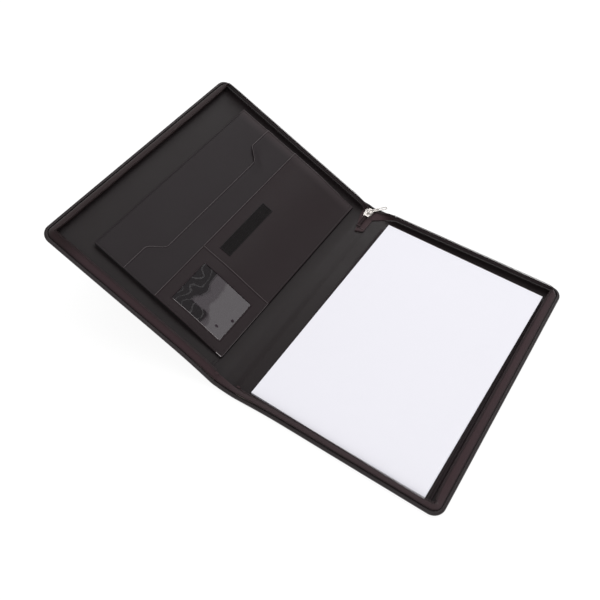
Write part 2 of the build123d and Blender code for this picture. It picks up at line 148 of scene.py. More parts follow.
def ripple(a, b, seed):
    """A calm, repeatable unevenness between about -1 and 1."""
    total = 0
    for k in range(1, 5):
        turn = seed * 1.7 + k * 2.1
        total = total + np.sin(k * (a * math.cos(turn) + b * math.sin(turn)) + seed * k) / k
    return total / 2


def run_length(points):
    """How far along a row of points each of them lies."""
    return np.concatenate([[0], np.cumsum(np.linalg.norm(np.diff(points, axis=0), axis=1))])


def unit(vectors):
    """Vectors cut to a length of 1."""
    return vectors / np.maximum(np.linalg.norm(vectors, axis=-1, keepdims=True), 1e-12)


def hump(offset, reach):
    """A smooth bump: 1 at no offset, nearly 0 at twice the reach."""
    return np.exp(-((offset / reach) ** 2))


def lattice(first, second):
    """Every pair of two rows of values, as two grids."""
    return np.meshgrid(first, second, indexing="ij")


print("fold ready")

# %% [markdown]
# ## Shader formulas
#
# A small class wraps one shader socket. Its operators add Math nodes, so a pattern reads as a formula.

# %% Shader helpers


class Wire:
    """One value inside a material; arithmetic on it adds nodes."""

    def __init__(self, finish, socket):
        self.finish = finish
        self.socket = socket

    def _math(self, operation, first, second=None):
        return self.finish.node("ShaderNodeMath", {"operation": operation}, {0: first, 1: second})

    def _both(self, operation, first, second):
        """A Math node, or a Vector Math node where this value is a vector."""
        kind = "ShaderNodeVectorMath" if self.socket.type == "VECTOR" else "ShaderNodeMath"
        return self.finish.node(kind, {"operation": operation}, {0: first, 1: second})

    def __add__(self, other):
        return self._both("ADD", self, other)

    def __sub__(self, other):
        return self._both("SUBTRACT", self, other)

    def __rsub__(self, other):
        return self._both("SUBTRACT", other, self)

    def __mul__(self, other):
        return self._both("MULTIPLY", self, other)

    def sine(self):
        return self._math("SINE", self)

    def largest(self, other):
        return self._math("MAXIMUM", self, other)

    def band(self, low, high):
        """0 below low, 1 above high, smooth in between."""
        return self.finish.node(
            "ShaderNodeMapRange",
            {"interpolation_type": "SMOOTHSTEP"},
            {"Value": self, "From Min": low, "From Max": high},
        )

    def blend(self, first, second):
        """The first colour where this is 0, the second where it is 1."""
        return self.finish.node(
            "ShaderNodeMix",
            {"data_type": "RGBA"},
            {"Factor": self, "A": first, "B": second},
            "Result",
        )

    def zigzag(self):
        """Up to 1 and back to 0, with one fold for each whole number."""
        return self._math("PINGPONG", self, 0.5) * 2

    def part(self, axis):
        """The X, Y or Z of a vector."""
        return self.finish.node("ShaderNodeSeparateXYZ", {}, {"Vector": self}, axis)


class Finish:
    """A material being built round one Principled shader."""

    def __init__(self, name):
        self.material = bpy.data.materials.new(name)
        self.material.use_nodes = True
        self.tree = self.material.node_tree
        self.shader = self.tree.nodes["Principled BSDF"]

    def _socket(self, node, key, kind="inputs"):
        sockets = getattr(node, kind)
        if isinstance(key, int):
            return sockets[key]
        wanted = "RGBA" if getattr(node, "data_type", "") == "RGBA" and key != "Factor" else None
        found = [socket for socket in sockets if socket.name == key and socket.enabled]
        return next(socket for socket in found if wanted in (None, socket.type))

    def node(self, kind, settings, sockets, out=0):
        """Add any node: its type, its settings, its inputs, and which output to hand on."""
        node = self.tree.nodes.new(kind)
        for key, value in settings.items():
            setattr(node, key, value)
        for key, value in sockets.items():
            if value is not None:
                self.feed(self._socket(node, key), value)
        return Wire(self, self._socket(node, out, "outputs"))

    def feed(self, socket, value):
        """Link a wire to a socket, or write a constant on it."""
        if isinstance(value, Wire):
            self.tree.links.new(value.socket, socket)
        elif socket.type == "RGBA":
            socket.default_value = (*value[:3], 1)
        else:
            socket.default_value = value

    def set(self, **inputs):
        """Set inputs of the Principled shader, such as Base_Color or Roughness."""
        for key, value in inputs.items():
            self.feed(self.shader.inputs[key.replace("_", " ")], value)
        return self

    def place(self):
        """Where a point is in the object's own space, in metres."""
        return self.node("ShaderNodeTexCoord", {}, {}, "Object")

    def noise(self, scale, detail=2.0, roughness=0.5, at=None):
        return self.node(
            "ShaderNodeTexNoise",
            {},
            {"Vector": at or self.place(), "Scale": scale, "Detail": detail, "Roughness": roughness},
        )

    def cells(self, scale):
        """Soft round cells, such as the grain of leather."""
        return self.node(
            "ShaderNodeTexVoronoi", {"feature": "SMOOTH_F1"}, {"Vector": self.place(), "Scale": scale}
        )

    def bump(self, height, distance, strength=1.0):
        """Turn a height into a bumped normal for the Principled shader."""
        normal = self.node(
            "ShaderNodeBump", {}, {"Height": height, "Distance": distance, "Strength": strength}, "Normal"
        )
        return self.set(Normal=normal)


def srgb(*channels):
    """A colour as it looks on screen, 0 to 255, turned into light values."""
    shares = [channel / 255 for channel in channels]
    return tuple(c / 12.92 if c <= 0.04045 else ((c + 0.055) / 1.055) ** 2.4 for c in shares)


print("shader helpers ready")

# %% [markdown]
# ## Finishes
#
# The leather is nearly black with a brown cast, so most of what shows on it is the soft light it
# reflects. Its grain is cells about a millimetre wide with a finer noise over them, and the reflection is
# broken up by a slow change of roughness.

# %% Leather, lining and board
# Painted sheen: a lighter leather tone over a stretch of Y at the pockets' head end, standing in for light
# reflected there.
HEAD_SHEEN_TONE = (52, 44, 46)
HEAD_SHEEN_Y = (126 * MM, 143 * MM)
# Painted shade: between these X values the zip tape and teeth darken towards the left fore edge to this tone.
LEFT_SHADE_X = (-0.352, -0.318)
LEFT_SHADE_TONE = (32, 15, 17)


def leather(name, tone, deep, grain, rough, sheen, sheen_band=None):
    """Grained leather: two close tones, cell grain, a roughness that wanders, and a painted sheen: a lighter
    colour over a stretch of Y.
    """
    finish = Finish(name)
    wander = finish.noise(22, 3.0)
    cell = finish.cells(grain)
    fine = finish.noise(grain * 2.2, 3.0, 0.6)
    crease = cell.band(0.55, 0.95)
    colour = (wander * 0.7 + fine * 0.3).blend(srgb(*deep), srgb(*tone))
    if sheen_band:
        # Painted sheen: the colour turns lighter over the given stretch of Y.
        colour = finish.place().part("Y").band(*sheen_band).blend(colour, srgb(*HEAD_SHEEN_TONE))
    finish.set(
        Base_Color=colour,
        Roughness=wander * 0.16 + fine * 0.10 + (rough - 0.13),
        Specular_IOR_Level=sheen,
    )
    return finish.bump(cell * 0.6 + fine * 0.4 - crease * 0.3, 0.16 * MM, 0.55).material


outer_leather = leather("outer_leather", (38, 29, 31), (30, 22, 24), 1100, 0.48, 0.36)
tuck_leather = leather("tuck_leather", (46, 39, 41), (38, 32, 34), 1700, 0.45, 0.2)
# Painted glint: nearly white leather for the rolls at the organiser's foot corner and the window's foot hem.
glint_leather = leather("glint_leather", (172, 166, 167), (160, 154, 155), 1500, 0.4, 0.3)
# Painted highlight: pale leather for the fine lines along the pocket edges.
edge_leather = leather("edge_leather", (100, 93, 94), (66, 60, 62), 1500, 0.45, 0.25)
# The pocket and panel leathers carry the painted sheen at their head end.
pocket_leather = leather("pocket_leather", (37, 27, 30), (30, 22, 24), 1500, 0.48, 0.16, HEAD_SHEEN_Y)
panel_leather = leather("panel_leather", (36, 29, 32), (29, 24, 26), 1500, 0.48, 0.16, HEAD_SHEEN_Y)
# Painted shadow: near-black leather for rolls laid where the root gap and the window's head hem are in shade.
crease_leather = leather("crease_leather", (16, 12, 13), (11, 8, 9), 1700, 0.7, 0.05)
lining_leather = leather("lining_leather", (34, 28, 29), (28, 23, 24), 1700, 0.44, 0.17)


def painted_left_shade(finish, edges, colour):
    """Darken a colour towards the left: painted shade on the zip tape and teeth along the left fore edge."""
    return finish.place().part("X").band(*edges).blend(srgb(*LEFT_SHADE_TONE), colour)


def cloth(name, tone, deep, pitch, rough, height, edges=None):
    """Woven cloth: ribs along the tape crossed by finer threads, with lint in between, and painted shade
    towards the left where edges are given.
    """
    finish = Finish(name)
    where = finish.place()
    across = (where.part("X") * (2 * math.pi / pitch)).sine()
    along = (where.part("Y") * (2 * math.pi / pitch)).sine()
    lint = finish.noise(900, 4.0, 0.7)
    weave = across * along * 0.5 + 0.5
    colour = (weave * 0.5 + lint * 0.5).blend(srgb(*deep), srgb(*tone))
    finish.set(
        Base_Color=painted_left_shade(finish, edges, colour) if edges else colour,
        Roughness=lint * 0.15 + (rough - 0.08),
        Specular_IOR_Level=0.25,
        Sheen_Weight=0.15,
        Sheen_Roughness=0.5,
    )
    return finish.bump(weave * 0.7 + lint * 0.3, height, 0.6).material


# The tape's colour carries painted shade towards the left.
tape_cloth = cloth("tape_cloth", (60, 41, 45), (45, 31, 34), 0.9 * MM, 0.8, 0.12 * MM, LEFT_SHADE_X)
stub_cloth = cloth("stub_cloth", (62, 44, 47), (48, 34, 37), 0.9 * MM, 0.8, 0.08 * MM)
gusset_cloth = cloth("gusset_cloth", (28, 24, 25), (20, 17, 18), 0.7 * MM, 0.85, 0.08 * MM)
hook_cloth = cloth("hook_cloth", (20, 15, 16), (12, 9, 10), 1.1 * MM, 0.95, 0.25 * MM)


def fibre(name, tone, deep, scale, rough, height):
    """Paper or board: short pressed fibres."""
    finish = Finish(name)
    flecks = finish.noise(scale, 5.0, 0.7)
    cloud = finish.noise(60, 2.0)
    finish.set(
        Base_Color=(flecks * 0.6 + cloud * 0.4).blend(srgb(*deep), srgb(*tone)),
        Roughness=flecks * 0.1 + (rough - 0.05),
        Specular_IOR_Level=0.2,
    )
    return finish.bump(flecks, height, 0.3).material


paper = fibre("paper", (238, 237, 244), (236, 235, 242), 2500, 0.75, 0.02 * MM)
card = fibre("card", (150, 138, 120), (126, 114, 98), 1200, 0.85, 0.05 * MM)
board = fibre("board", (128, 122, 114), (104, 99, 92), 900, 0.9, 0.06 * MM)
glue = fibre("glue", (104, 97, 94), (88, 82, 80), 400, 0.6, 0.05 * MM)

# %% [markdown]
# The zip's metal is satin nickel with fine brush marks. Its teeth are moulded nylon, and the window is
# a thin clear film that mostly shows what it reflects. Its reflection is painted: the clear coat is full
# where the film lies flat, weaker in a middle band, and weakest, with a darker colour and painted bright fold
# lines, in a band by the mouth and a patch by the foot.

# %% Metal, nylon, film and thread


def metal(name, tone, rough):
    """Satin nickel with fine brush marks and a little tarnish."""
    finish = Finish(name)
    scratch = finish.noise(3000, 4.0, 0.7, finish.place() * (1.0, 0.12, 1.0))
    tarnish = finish.noise(350, 3.0)
    finish.set(
        Base_Color=tarnish.band(0.35, 0.75).blend(srgb(*tone), srgb(*(0.86 * c for c in tone))),
        Metallic=1.0,
        Roughness=scratch * 0.10 + tarnish * 0.06 + (rough - 0.08),
    )
    return finish.bump(scratch, 0.008 * MM, 0.3).material


def nylon(name, tone, deep, rough, edges=None):
    """Moulded nylon with a faint mottle, and painted shade towards the left where edges are given."""
    finish = Finish(name)
    mottle = finish.noise(1400, 3.0)
    colour = mottle.blend(srgb(*deep), srgb(*tone))
    finish.set(
        Base_Color=painted_left_shade(finish, edges, colour) if edges else colour,
        Roughness=mottle * 0.15 + (rough - 0.07),
        Specular_IOR_Level=0.35,
    )
    return finish.bump(mottle, 0.03 * MM, 0.4).material


nickel = metal("nickel", (208, 203, 199), 0.50)
# The teeth's colour carries painted shade towards the left.
coil_nylon = nylon("coil_nylon", (52, 38, 41), (40, 29, 31), 0.6, LEFT_SHADE_X)
chain_nylon = nylon("chain_nylon", (50, 36, 38), (40, 28, 30), 0.85)
stop_nylon = nylon("stop_nylon", (58, 41, 44), (45, 32, 34), 0.85)
thread = nylon("thread", (36, 30, 31), (24, 20, 21), 0.7)


# Painted reflection: the film's lit and dim tones, and how much each mask dims or brightens its clear coat.
FILM_BRIGHT_TONE, FILM_DIM_TONE = (42, 31, 39), (34, 31, 33)
MIDDLE_PAINTED_DIM, CREASE_PAINTED_DIM, FOLD_PAINTED_SHINE = 0.45, 0.7, 0.5
FLECKS = ((0.18, 0.155), (0.04, 0.46))
FLECK_SIZE = 0.0016


def clear_film(name, corner, across, along):
    """A clear, glossy, partly creased film over a window, given by a corner and its two ways; its bright and
    dim zones are painted reflection.
    """
    finish = Finish(name)
    where = finish.place() - corner
    a, b = (
        finish.node("ShaderNodeVectorMath", {"operation": "DOT_PRODUCT"}, {0: where, 1: way}, "Value")
        for way in (across, along)
    )
    # Painted reflection: masks for a dim middle band, dim zones by the mouth and the foot, bright fold lines
    # in them, and a few dim spots.
    stray = finish.noise(52, 0.6, 0.5) - 0.5
    middle_dim = (a + stray * 0.15 - b.band(0.0, 0.45) * 0.19).band(0.27, 0.33)
    by_mouth = (a + stray * 0.4 + b * 0.1).band(0.74, 0.84)
    by_foot = (a + stray * 0.2).band(0.38, 0.48) * (0.25 - b + stray * 0.15).band(0.0, 0.06)
    creased = by_mouth.largest(by_foot)
    fold = (a * 8.0 + b * 0.9 + stray * 3.6).zigzag().band(0.68, 0.98)
    shine = 1.0 - middle_dim * MIDDLE_PAINTED_DIM - creased * CREASE_PAINTED_DIM + fold * creased * FOLD_PAINTED_SHINE
    for at_a, at_b in FLECKS:
        off_a, off_b = a - at_a, b - at_b
        inside = FLECK_SIZE - off_a * off_a - off_b * off_b + stray * FLECK_SIZE
        shine = shine - inside.band(0.0, FLECK_SIZE)
    # Painted reflection: the coat's weight and the colour follow these masks.
    finish.set(
        Base_Color=creased.blend(srgb(*FILM_BRIGHT_TONE), srgb(*FILM_DIM_TONE)),
        Roughness=0.5,
        Specular_IOR_Level=0.1,
        Coat_Weight=shine.largest(0.0),
        Coat_Roughness=0.08,
        Coat_IOR=1.54,
        Alpha=0.88,
    )
    return finish.material


print("finishes:", len(bpy.data.materials))

# %% [markdown]
# ## Making meshes
#
# A piece that crosses a crease is cut where the creases begin. The flat parts ride on a cover, and the
# strips over each crease stay where they lie. All the cuts share the whole
# sheet's normals, so no line shows where they meet.

# %% Mesh helpers
RIGHT, RIGHT_BEND, LEFT_BEND, LEFT = "right", "right_bend", "left_bend", "left"


def zone_of(s):
    """Which part of the folded sheet each s belongs to."""
    s = np.asarray(s)
    return np.select(
        [s > BEND, s > -RUN / 2, s > -RUN - BEND], [RIGHT, RIGHT_BEND, LEFT_BEND], default=LEFT
    )


def settle(obj, zone):
    """Let a piece ride on its cover; a piece over a crease is left where it lies."""
    if zone == RIGHT:
        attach(obj, "right_half")
    elif zone == LEFT:
        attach(obj, "left_half")
    elif zone == RIGHT_BEND:
        place(BLEND, 0, 0)
        place(-BLEND, 0, 0)
        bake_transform(obj)
    else:
        place(BLEND - RUN, 0, 0)
        place(-BLEND - RUN, 0, 0)
        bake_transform(obj)
    return obj


def add_mesh(name, points, faces, finish, smooth=True):
    """A mesh object in the row frame."""
    mesh = bpy.data.meshes.new(name)
    mesh.from_pydata(np.asarray(points).tolist(), [], np.asarray(faces).tolist())
    mesh.materials.append(finish)
    if smooth:
        mesh.shade_smooth()
    mesh.update()
    obj = bpy.data.objects.new(name, mesh)
    bpy.context.scene.collection.objects.link(obj)
    return obj


def vertex_normals(points, faces):
    """Smooth normals of a mesh of quads."""
    corner = points[faces]
    facing = np.cross(corner[:, 2] - corner[:, 0], corner[:, 3] - corner[:, 1])
    normals = np.zeros_like(points)
    for k in range(faces.shape[1]):
        np.add.at(normals, faces[:, k], facing)
    return unit(normals)


def add_folded(name, s, y, w, faces, finish):
    """Fold a sheet, cut it at the creases and let each flat cut ride on its cover. Returns the cuts by zone.
    """
    s, y, w = (np.ravel(value) for value in (s, y, w))
    points = place(s, y, w)
    normals = vertex_normals(points, faces)
    zones = zone_of(s[faces].mean(axis=1))
    made = {}
    for zone in (RIGHT, RIGHT_BEND, LEFT_BEND, LEFT):
        chosen = faces[zones == zone]
        if not len(chosen):
            continue
        used, local = np.unique(chosen, return_inverse=True)
        obj = add_mesh(f"{name}_{zone}", points[used], local.reshape(chosen.shape), finish)
        obj.data.normals_split_custom_set_from_vertices(normals[used].tolist())
        made[zone] = settle(obj, zone)
    return made


def grid_faces(rows, columns, wrap=False):
    """Quads of a grid of points, row by row; wrap joins the last row to the first."""
    row = np.arange(rows if wrap else rows - 1)[:, None]
    column = np.arange(columns - 1)[None, :]
    here = row * columns + column
    below = ((row + 1) % rows) * columns + column
    return np.stack([here, here + 1, below + 1, below], axis=-1).reshape(-1, 4)


def add_grid(name, s, y, w, finish, slot, wrap=False):
    """A folded sheet whose points form a grid; wrap joins its last row to its first."""
    return add_folded(name, s, y, w, grid_faces(*np.shape(s), wrap), finish)


def steps(low, high, pitch):
    """Even steps from low to high, about pitch apart."""
    count = max(2, int(round(abs(high - low) / pitch)) + 1)
    return np.linspace(low, high, count)


print("mesh helpers ready")

# %% [markdown]
# ## Round the edge
#
# The rim, the zip tape, its coil and the stitching all run round the same outline. `rim_loop` lists
# stations on it, each with its inward direction, closely spaced at the corners and over the creases.

# %% The outline
ARC_STEPS = 12
WAIST_AT, WAIST_DEEP, WAIST_REACH = 11 * MM, 1.6 * MM, 6 * MM
FOOT_BULGE_AT, FOOT_BULGE_OUT, FOOT_BULGE_REACH = 10 * MM, 2.2 * MM, 40 * MM


def edge_stations():
    """Values of s along the head and foot edges, from the left corner to the right one."""
    runs = [
        (-RUN - WIDTH + CORNER, -RUN - TAIL, 6 * MM),
        (-RUN - TAIL, -RUN - BEND, 3 * MM),
        (-RUN - BEND, -RUN / 2, 1 * MM),
        (-RUN / 2, BEND, 1 * MM),
        (BEND, TAIL, 3 * MM),
        (TAIL, WIDTH - CORNER, 6 * MM),
    ]
    return np.unique(np.concatenate([steps(*run) for run in runs]).round(7))


def rim_loop():
    """Stations round the outline, anticlockwise from the left end of the foot edge, and their inward ways."""
    across = edge_stations()
    along = steps(CORNER - HALF, HALF - CORNER, 6 * MM)
    base, inward = [], []

    def straight(s, y, way):
        s, y = np.broadcast_arrays(s, y)
        base.extend(zip(s, y))
        inward.extend([way] * len(s))

    def corner(s, y, start):
        for k in range(1, ARC_STEPS):
            turn = math.radians(start + 90 * k / ARC_STEPS)
            base.append((s + CORNER * math.cos(turn), y + CORNER * math.sin(turn)))
            inward.append((-math.cos(turn), -math.sin(turn)))

    right, left = WIDTH - CORNER, -RUN - WIDTH + CORNER
    waist = WAIST_DEEP * hump(across + WAIST_AT, WAIST_REACH)
    bulge = FOOT_BULGE_OUT * hump(across + FOOT_BULGE_AT, FOOT_BULGE_REACH)
    straight(across, -HALF - bulge, (0, 1))
    corner(right, CORNER - HALF, -90)
    straight(WIDTH, along, (-1, 0))
    corner(right, HALF - CORNER, 0)
    straight(across[::-1], (HALF - waist)[::-1], (0, -1))
    corner(left, HALF - CORNER, 90)
    straight(-RUN - WIDTH, along[::-1], (1, 0))
    corner(left, CORNER - HALF, 180)
    return np.array(base), np.array(inward)


loop_base, loop_inward = rim_loop()
loop_length = run_length(loop_base)
print("outline:", len(loop_base), "stations,", round(loop_length[-1], 3), "m")

# %% [markdown]
# ## Outer leather
#
# One profile swept round the outline makes the rim: under the cover, round the edge, and in over
# the zip tape. A flat panel closes the underside. The rim is a little uneven, as turned leather is.

# %% Outer leather
RIM_TOP = 6.0 * MM
LIP = 4.2 * MM
RIM_STRAY_IN, RIM_STRAY_UP = 0.12 * MM, 0.15 * MM
UNDER_PITCH = 12 * MM
rim_profile = np.array([
    (13.0, 0.0), (9.0, 0.0), (4.0, 0.0), (2.0, 0.15), (0.7, 0.7), (0.0, 1.6), (-0.3, 2.7), (-0.25, 3.7),
    (0.2, 4.8), (0.95, 5.55), (1.9, 5.98), (2.7, 5.98), (3.2, 5.75), (3.5, 5.4), (3.55, 4.9), (3.6, 4.2),
]) * MM


def sweep(base, inward, profile_e, profile_v):
    """A grid of points: a profile carried along stations. Its e runs inward and its v upward."""
    s = base[:, None, 0] + inward[:, None, 0] * profile_e
    y = base[:, None, 1] + inward[:, None, 1] * profile_e
    return s, y, profile_v - RISE + 0 * s


uneven = ripple(loop_length * 60, 0, 3)[:, None] * np.clip(rim_profile[:, 1] / RIM_TOP, 0, 1)
rim_e = rim_profile[:, 0] + RIM_STRAY_IN * uneven
rim_v = rim_profile[:, 1] + RIM_STRAY_UP * uneven
rim = add_grid("rim", *sweep(loop_base, loop_inward, rim_e, rim_v), outer_leather, "black_leather", wrap=True)
under_s = np.unique(np.concatenate([edge_stations(), steps(BEND, WIDTH - CORNER, UNDER_PITCH)]).round(7))
under_s, under_y = lattice(under_s, steps(CORNER - HALF, HALF - CORNER, UNDER_PITCH))
add_grid("underside", under_s, under_y, 0 * under_s - RISE, outer_leather, "black_leather")
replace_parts(rim[RIGHT], "right_outer_leather")
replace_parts(rim[LEFT], "left_outer_leather")
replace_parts(rim[RIGHT_BEND], "spine_leather")
print("outer leather:", rim_e.size + under_s.size, "points")

# %% [markdown]
# ## Lining
#
# The lining runs from one cover to the other in one piece and dips where the boards end at the spine.

# %% Lining
RAMP_FROM, RAMP_LONG = -9 * MM, 10.6 * MM
LINING_SOFT = 0.16 * MM
lining_edge = LIP - 0.5 * MM
floor_s = np.unique(
    np.concatenate([
        edge_stations(),
        steps(-RUN - WIDTH + lining_edge, -RUN - BEND, 8 * MM),
        steps(BEND, WIDTH - lining_edge, 8 * MM),
    ]).round(7)
)
floor_y = steps(lining_edge - HALF, HALF - lining_edge, 6 * MM)


def floor_height(s, y):
    """Height of the lining over the sheet's middle line."""
    on_cover = np.maximum(ease((s - RAMP_FROM) / RAMP_LONG), ease((-RUN - s - RAMP_FROM) / RAMP_LONG))
    soft = LINING_SOFT * ripple(s * 160, y * 14, 5) * (1 - 0.8 * on_cover)
    return SPINE_FLOOR + (FLOOR - RISE - SPINE_FLOOR) * on_cover + soft


floor_s, floor_y = lattice(floor_s, floor_y)
lining = add_grid("lining", floor_s, floor_y, floor_height(floor_s, floor_y), lining_leather, "lining_cloth")
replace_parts(lining[RIGHT], "right_lining")
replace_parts(lining[LEFT], "left_lining")
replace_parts(lining[RIGHT_BEND], "spine_lining")
print("lining:", floor_s.size, "points")

# %% [markdown]
# ## Zip tape and coil
#
# The tape stands up from under the leather lip. On the right fore edge it has flopped in, at the foot
# it stands nearly straight, and the corners ease from one to the other, so each wall has its own lean.

# %% Zip tape
TAPE_ROOT_E, TAPE_ROOT_V = 4.1 * MM, 4.9 * MM
TAPE_RISE = 9.4 * MM
TAPE_BACKS = 0.4 * MM
HEAD_INSET = 1.9 * MM
COIL_RISE = 3.0 * MM
LEANS = {
    "right_foot": 12, "right_fore": 57, "right_head": 16, "left_head": 16, "left_fore": 50, "left_foot": 42
}
LEAN_REACH = 16 * MM
CORNER_LEAN = 38
TAPE_CURL, TAPE_SWAY, TAPE_ROWS = 0.45, 0.05, 8
FACING = 0.7


def wall_path():
    """The outline from the left end of the zip, round both covers by the foot, to its right end."""
    on_head = loop_inward[:, 1] < -0.999
    start = int(np.argmin(np.where(on_head, abs(loop_base[:, 0] + RUN + TAIL), 9)))
    stop = int(np.argmin(np.where(on_head, abs(loop_base[:, 0] - TAIL), 9)))
    return np.arange(start, stop + len(loop_base) + 1) % len(loop_base)


wall = wall_path()
wall_base, wall_inward = loop_base[wall], loop_inward[wall]
wall_length = run_length(wall_base)


def round_corners(raw):
    """Ease a value of each station round the corners."""
    apart = wall_length[:, None] - wall_length[None, :]
    weight = hump(apart, LEAN_REACH) * np.gradient(wall_length)
    return (weight * raw).sum(1) / weight.sum(1)


def wall_leans():
    """Lean of the tape at each station, in radians."""
    half = np.where(wall_base[:, 0] > -RUN / 2, "right", "left")
    names = np.select(
        [wall_inward[:, 1] > FACING, wall_inward[:, 1] < -FACING], ["foot", "head"], default="fore"
    )
    raw = np.array([LEANS[f"{a}_{b}"] for a, b in zip(half, names)], float)
    at_corner = (abs(wall_inward[:, 0]) > 0.02) & (abs(wall_inward[:, 1]) > 0.02)
    return np.radians(round_corners(np.where(at_corner, np.minimum(raw, CORNER_LEAN), raw)))


lean = wall_leans()
inset = TAPE_ROOT_E + round_corners(np.where(wall_inward[:, 1] < -FACING, HEAD_INSET, 0))
sway = 1 + TAPE_SWAY * ripple(wall_length * 45, 0, 7)


def along_wall(d):
    """(e, v) of the tape wall at a distance d up from its root, at every station."""
    up = np.asarray(d)[None, :]
    turn = (lean * sway)[:, None] * (1 - TAPE_CURL + TAPE_CURL * ease(up / TAPE_RISE))
    return inset[:, None] + up * np.sin(turn), TAPE_ROOT_V + up * np.cos(turn)


tape_d = np.linspace(0, TAPE_RISE + TAPE_BACKS, TAPE_ROWS)
tape = add_grid("zip_tape", *sweep(wall_base, wall_inward, *along_wall(tape_d)), tape_cloth, "zip_tape")
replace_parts(tape[RIGHT], "right_zip_tape")
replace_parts(tape[LEFT], "left_zip_tape")
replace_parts(tape[RIGHT_BEND], "zip_foot_tape")
print("zip tape:", len(wall_base) * len(tape_d), "points")

# %% [markdown]
# The coil is over a thousand small teeth. One tooth is drawn from four cross-sections, and `scatter` copies
# it to each place along the tape's free edge, turned to face along it.

# %% Coil and rim stitches
COIL_PITCH = 1.5 * MM
STITCH_PITCH = 3.6 * MM
SEAM_IN = 2.5 * MM


SQUARE = ((-1, -1), (1, -1), (1, 1), (-1, 1))


def bar_faces(rings):
    """Faces of a closed bar whose points are rings of four."""
    faces = [(3, 2, 1, 0)]
    for k in range(0, 4 * rings - 4, 4):
        for j in range(4):
            n = (j + 1) % 4
            faces.append((k + j, k + n, k + 4 + n, k + 4 + j))
    last = 4 * rings - 4
    return np.array(faces + [(last, last + 1, last + 2, last + 3)])


def tooth_shape(sections):
    """Points and faces of a tooth: rectangles (reach, half width, half thickness) joined in a row."""
    points = [(a * wide, reach, b * thick) for reach, wide, thick in sections for a, b in SQUARE]
    return np.array(points) * MM, bar_faces(len(sections))


def scatter(shape, origins, ways):
    """Copies of a shape: its x, y and z run along the three directions of each way."""
    points, faces = shape
    placed = origins[:, None, :] + np.einsum("pk,nkd->npd", points, ways)
    shifted = faces[None] + len(points) * np.arange(len(origins))[:, None, None]
    return placed.reshape(-1, 3), shifted.reshape(-1, faces.shape[1])


def even_points(track, pitch):
    """Positions spaced evenly along a track, as fractions of its stations."""
    length = run_length(track)
    wanted = np.arange(pitch / 2, length[-1], pitch)
    return np.interp(wanted, length, np.arange(len(track)))


def at_fraction(track, fraction):
    """Points of a track between its stations."""
    index = np.arange(len(track))
    return np.stack([np.interp(fraction, index, track[:, k]) for k in range(track.shape[1])], axis=-1)


def frames_along(track, edge, fraction):
    """Origins on a track and three directions there: along it, towards the edge track, and square to both."""
    origin = at_fraction(track, fraction)
    ahead = at_fraction(track, fraction + 0.05) - at_fraction(track, fraction - 0.05)
    reach = unit(at_fraction(edge, fraction) - origin)
    ahead = unit(ahead - reach * (ahead * reach).sum(-1, keepdims=True))
    return origin, np.stack([ahead, reach, np.cross(ahead, reach)], axis=1)


def add_scattered(name, shape, origins, ways, s_at, finish, smooth=False):
    """Copies of a shape, one object for each zone of the folded sheet."""
    zones = zone_of(s_at)
    made = {}
    for zone in (RIGHT, RIGHT_BEND, LEFT_BEND, LEFT):
        chosen = zones == zone
        if chosen.any():
            obj = add_mesh(f"{name}_{zone}", *scatter(shape, origins[chosen], ways[chosen]), finish, smooth)
            made[zone] = settle(obj, zone)
    return made


def wall_track(d):
    """A line along the tape wall at distance d from its root: flat coordinates and folded points."""
    s, y, w = (value[:, 0] for value in sweep(wall_base, wall_inward, *along_wall([d])))
    return s, place(s, y, w)


coil_tooth = tooth_shape([(-1.4, 0.34, 0.55), (-0.4, 0.40, 0.85), (0.8, 0.46, 1.0), (1.5, 0.28, 0.6)])
track_s, track = wall_track(TAPE_RISE)
_, edge_track = wall_track(TAPE_RISE + COIL_RISE)
fraction = even_points(track, COIL_PITCH)
tooth_s = np.interp(fraction, np.arange(len(track_s)), track_s)
on_cover = (tooth_s > COIL_START) | (tooth_s < -RUN - COIL_START)
fraction, tooth_s = fraction[on_cover], tooth_s[on_cover]
origins, ways = frames_along(track, edge_track, fraction)
coil = add_scattered("coil", coil_tooth, origins + ways[:, 1] * MM, ways, tooth_s, coil_nylon)
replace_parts(coil[RIGHT], "right_zip_coil")
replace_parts(coil[LEFT], "left_zip_coil")

stitch = tooth_shape([(-1.15, 0.08, 0.05), (-0.9, 0.2, 0.16), (0.9, 0.2, 0.16), (1.15, 0.08, 0.05)])


def stitch_row(name, s, y, w, up=1 * MM, pitch=STITCH_PITCH):
    """A row of stitches along a line of the sheet; up is how far the surface's normal is found above it."""
    line = place(s, y, w)
    above = place(s, y, np.asarray(w) + up)
    spots = even_points(line, pitch)
    origin, turn = frames_along(line, above, spots)
    turned = np.stack([np.cross(turn[:, 0], turn[:, 1]), turn[:, 0], turn[:, 1]], axis=1)
    flat_s = np.interp(spots, np.arange(len(line)), np.broadcast_to(s, len(line)))
    return add_scattered(name, stitch, origin, turned, flat_s, thread)


seam = sweep(loop_base, loop_inward, np.array([SEAM_IN]), RIM_TOP)
stitch_row("rim_stitch", *(value[:, 0] for value in seam))
print("coil teeth:", len(fraction))

# %% [markdown]
# ## The pad and its pocket
#
# The pad's card back is inside the pocket, and the sheets lie over it. The stack is many thin sheets
# with slightly uneven edges, and the top one lifts a little at its free corner.

# %% Pad
SHEETS = 22
SHEET_STRAY = 0.12 * MM
CORNER_LIFT = 0.5 * MM
SHEET_GRID = (31, 43)
SHEET_WAVE, SHEET_OVER = 0.10 * MM, 0.05 * MM
sheet_points = np.array([vertex.co[:] for vertex in frame["nodes"]["pad_sheets"].data.vertices])


def sheet_corner(right, head):
    """A corner of the pad, by the signs of its side and its end."""
    return sheet_points[np.argmax(right * sheet_points[:, 0] + head * sheet_points[:, 1]), :2]


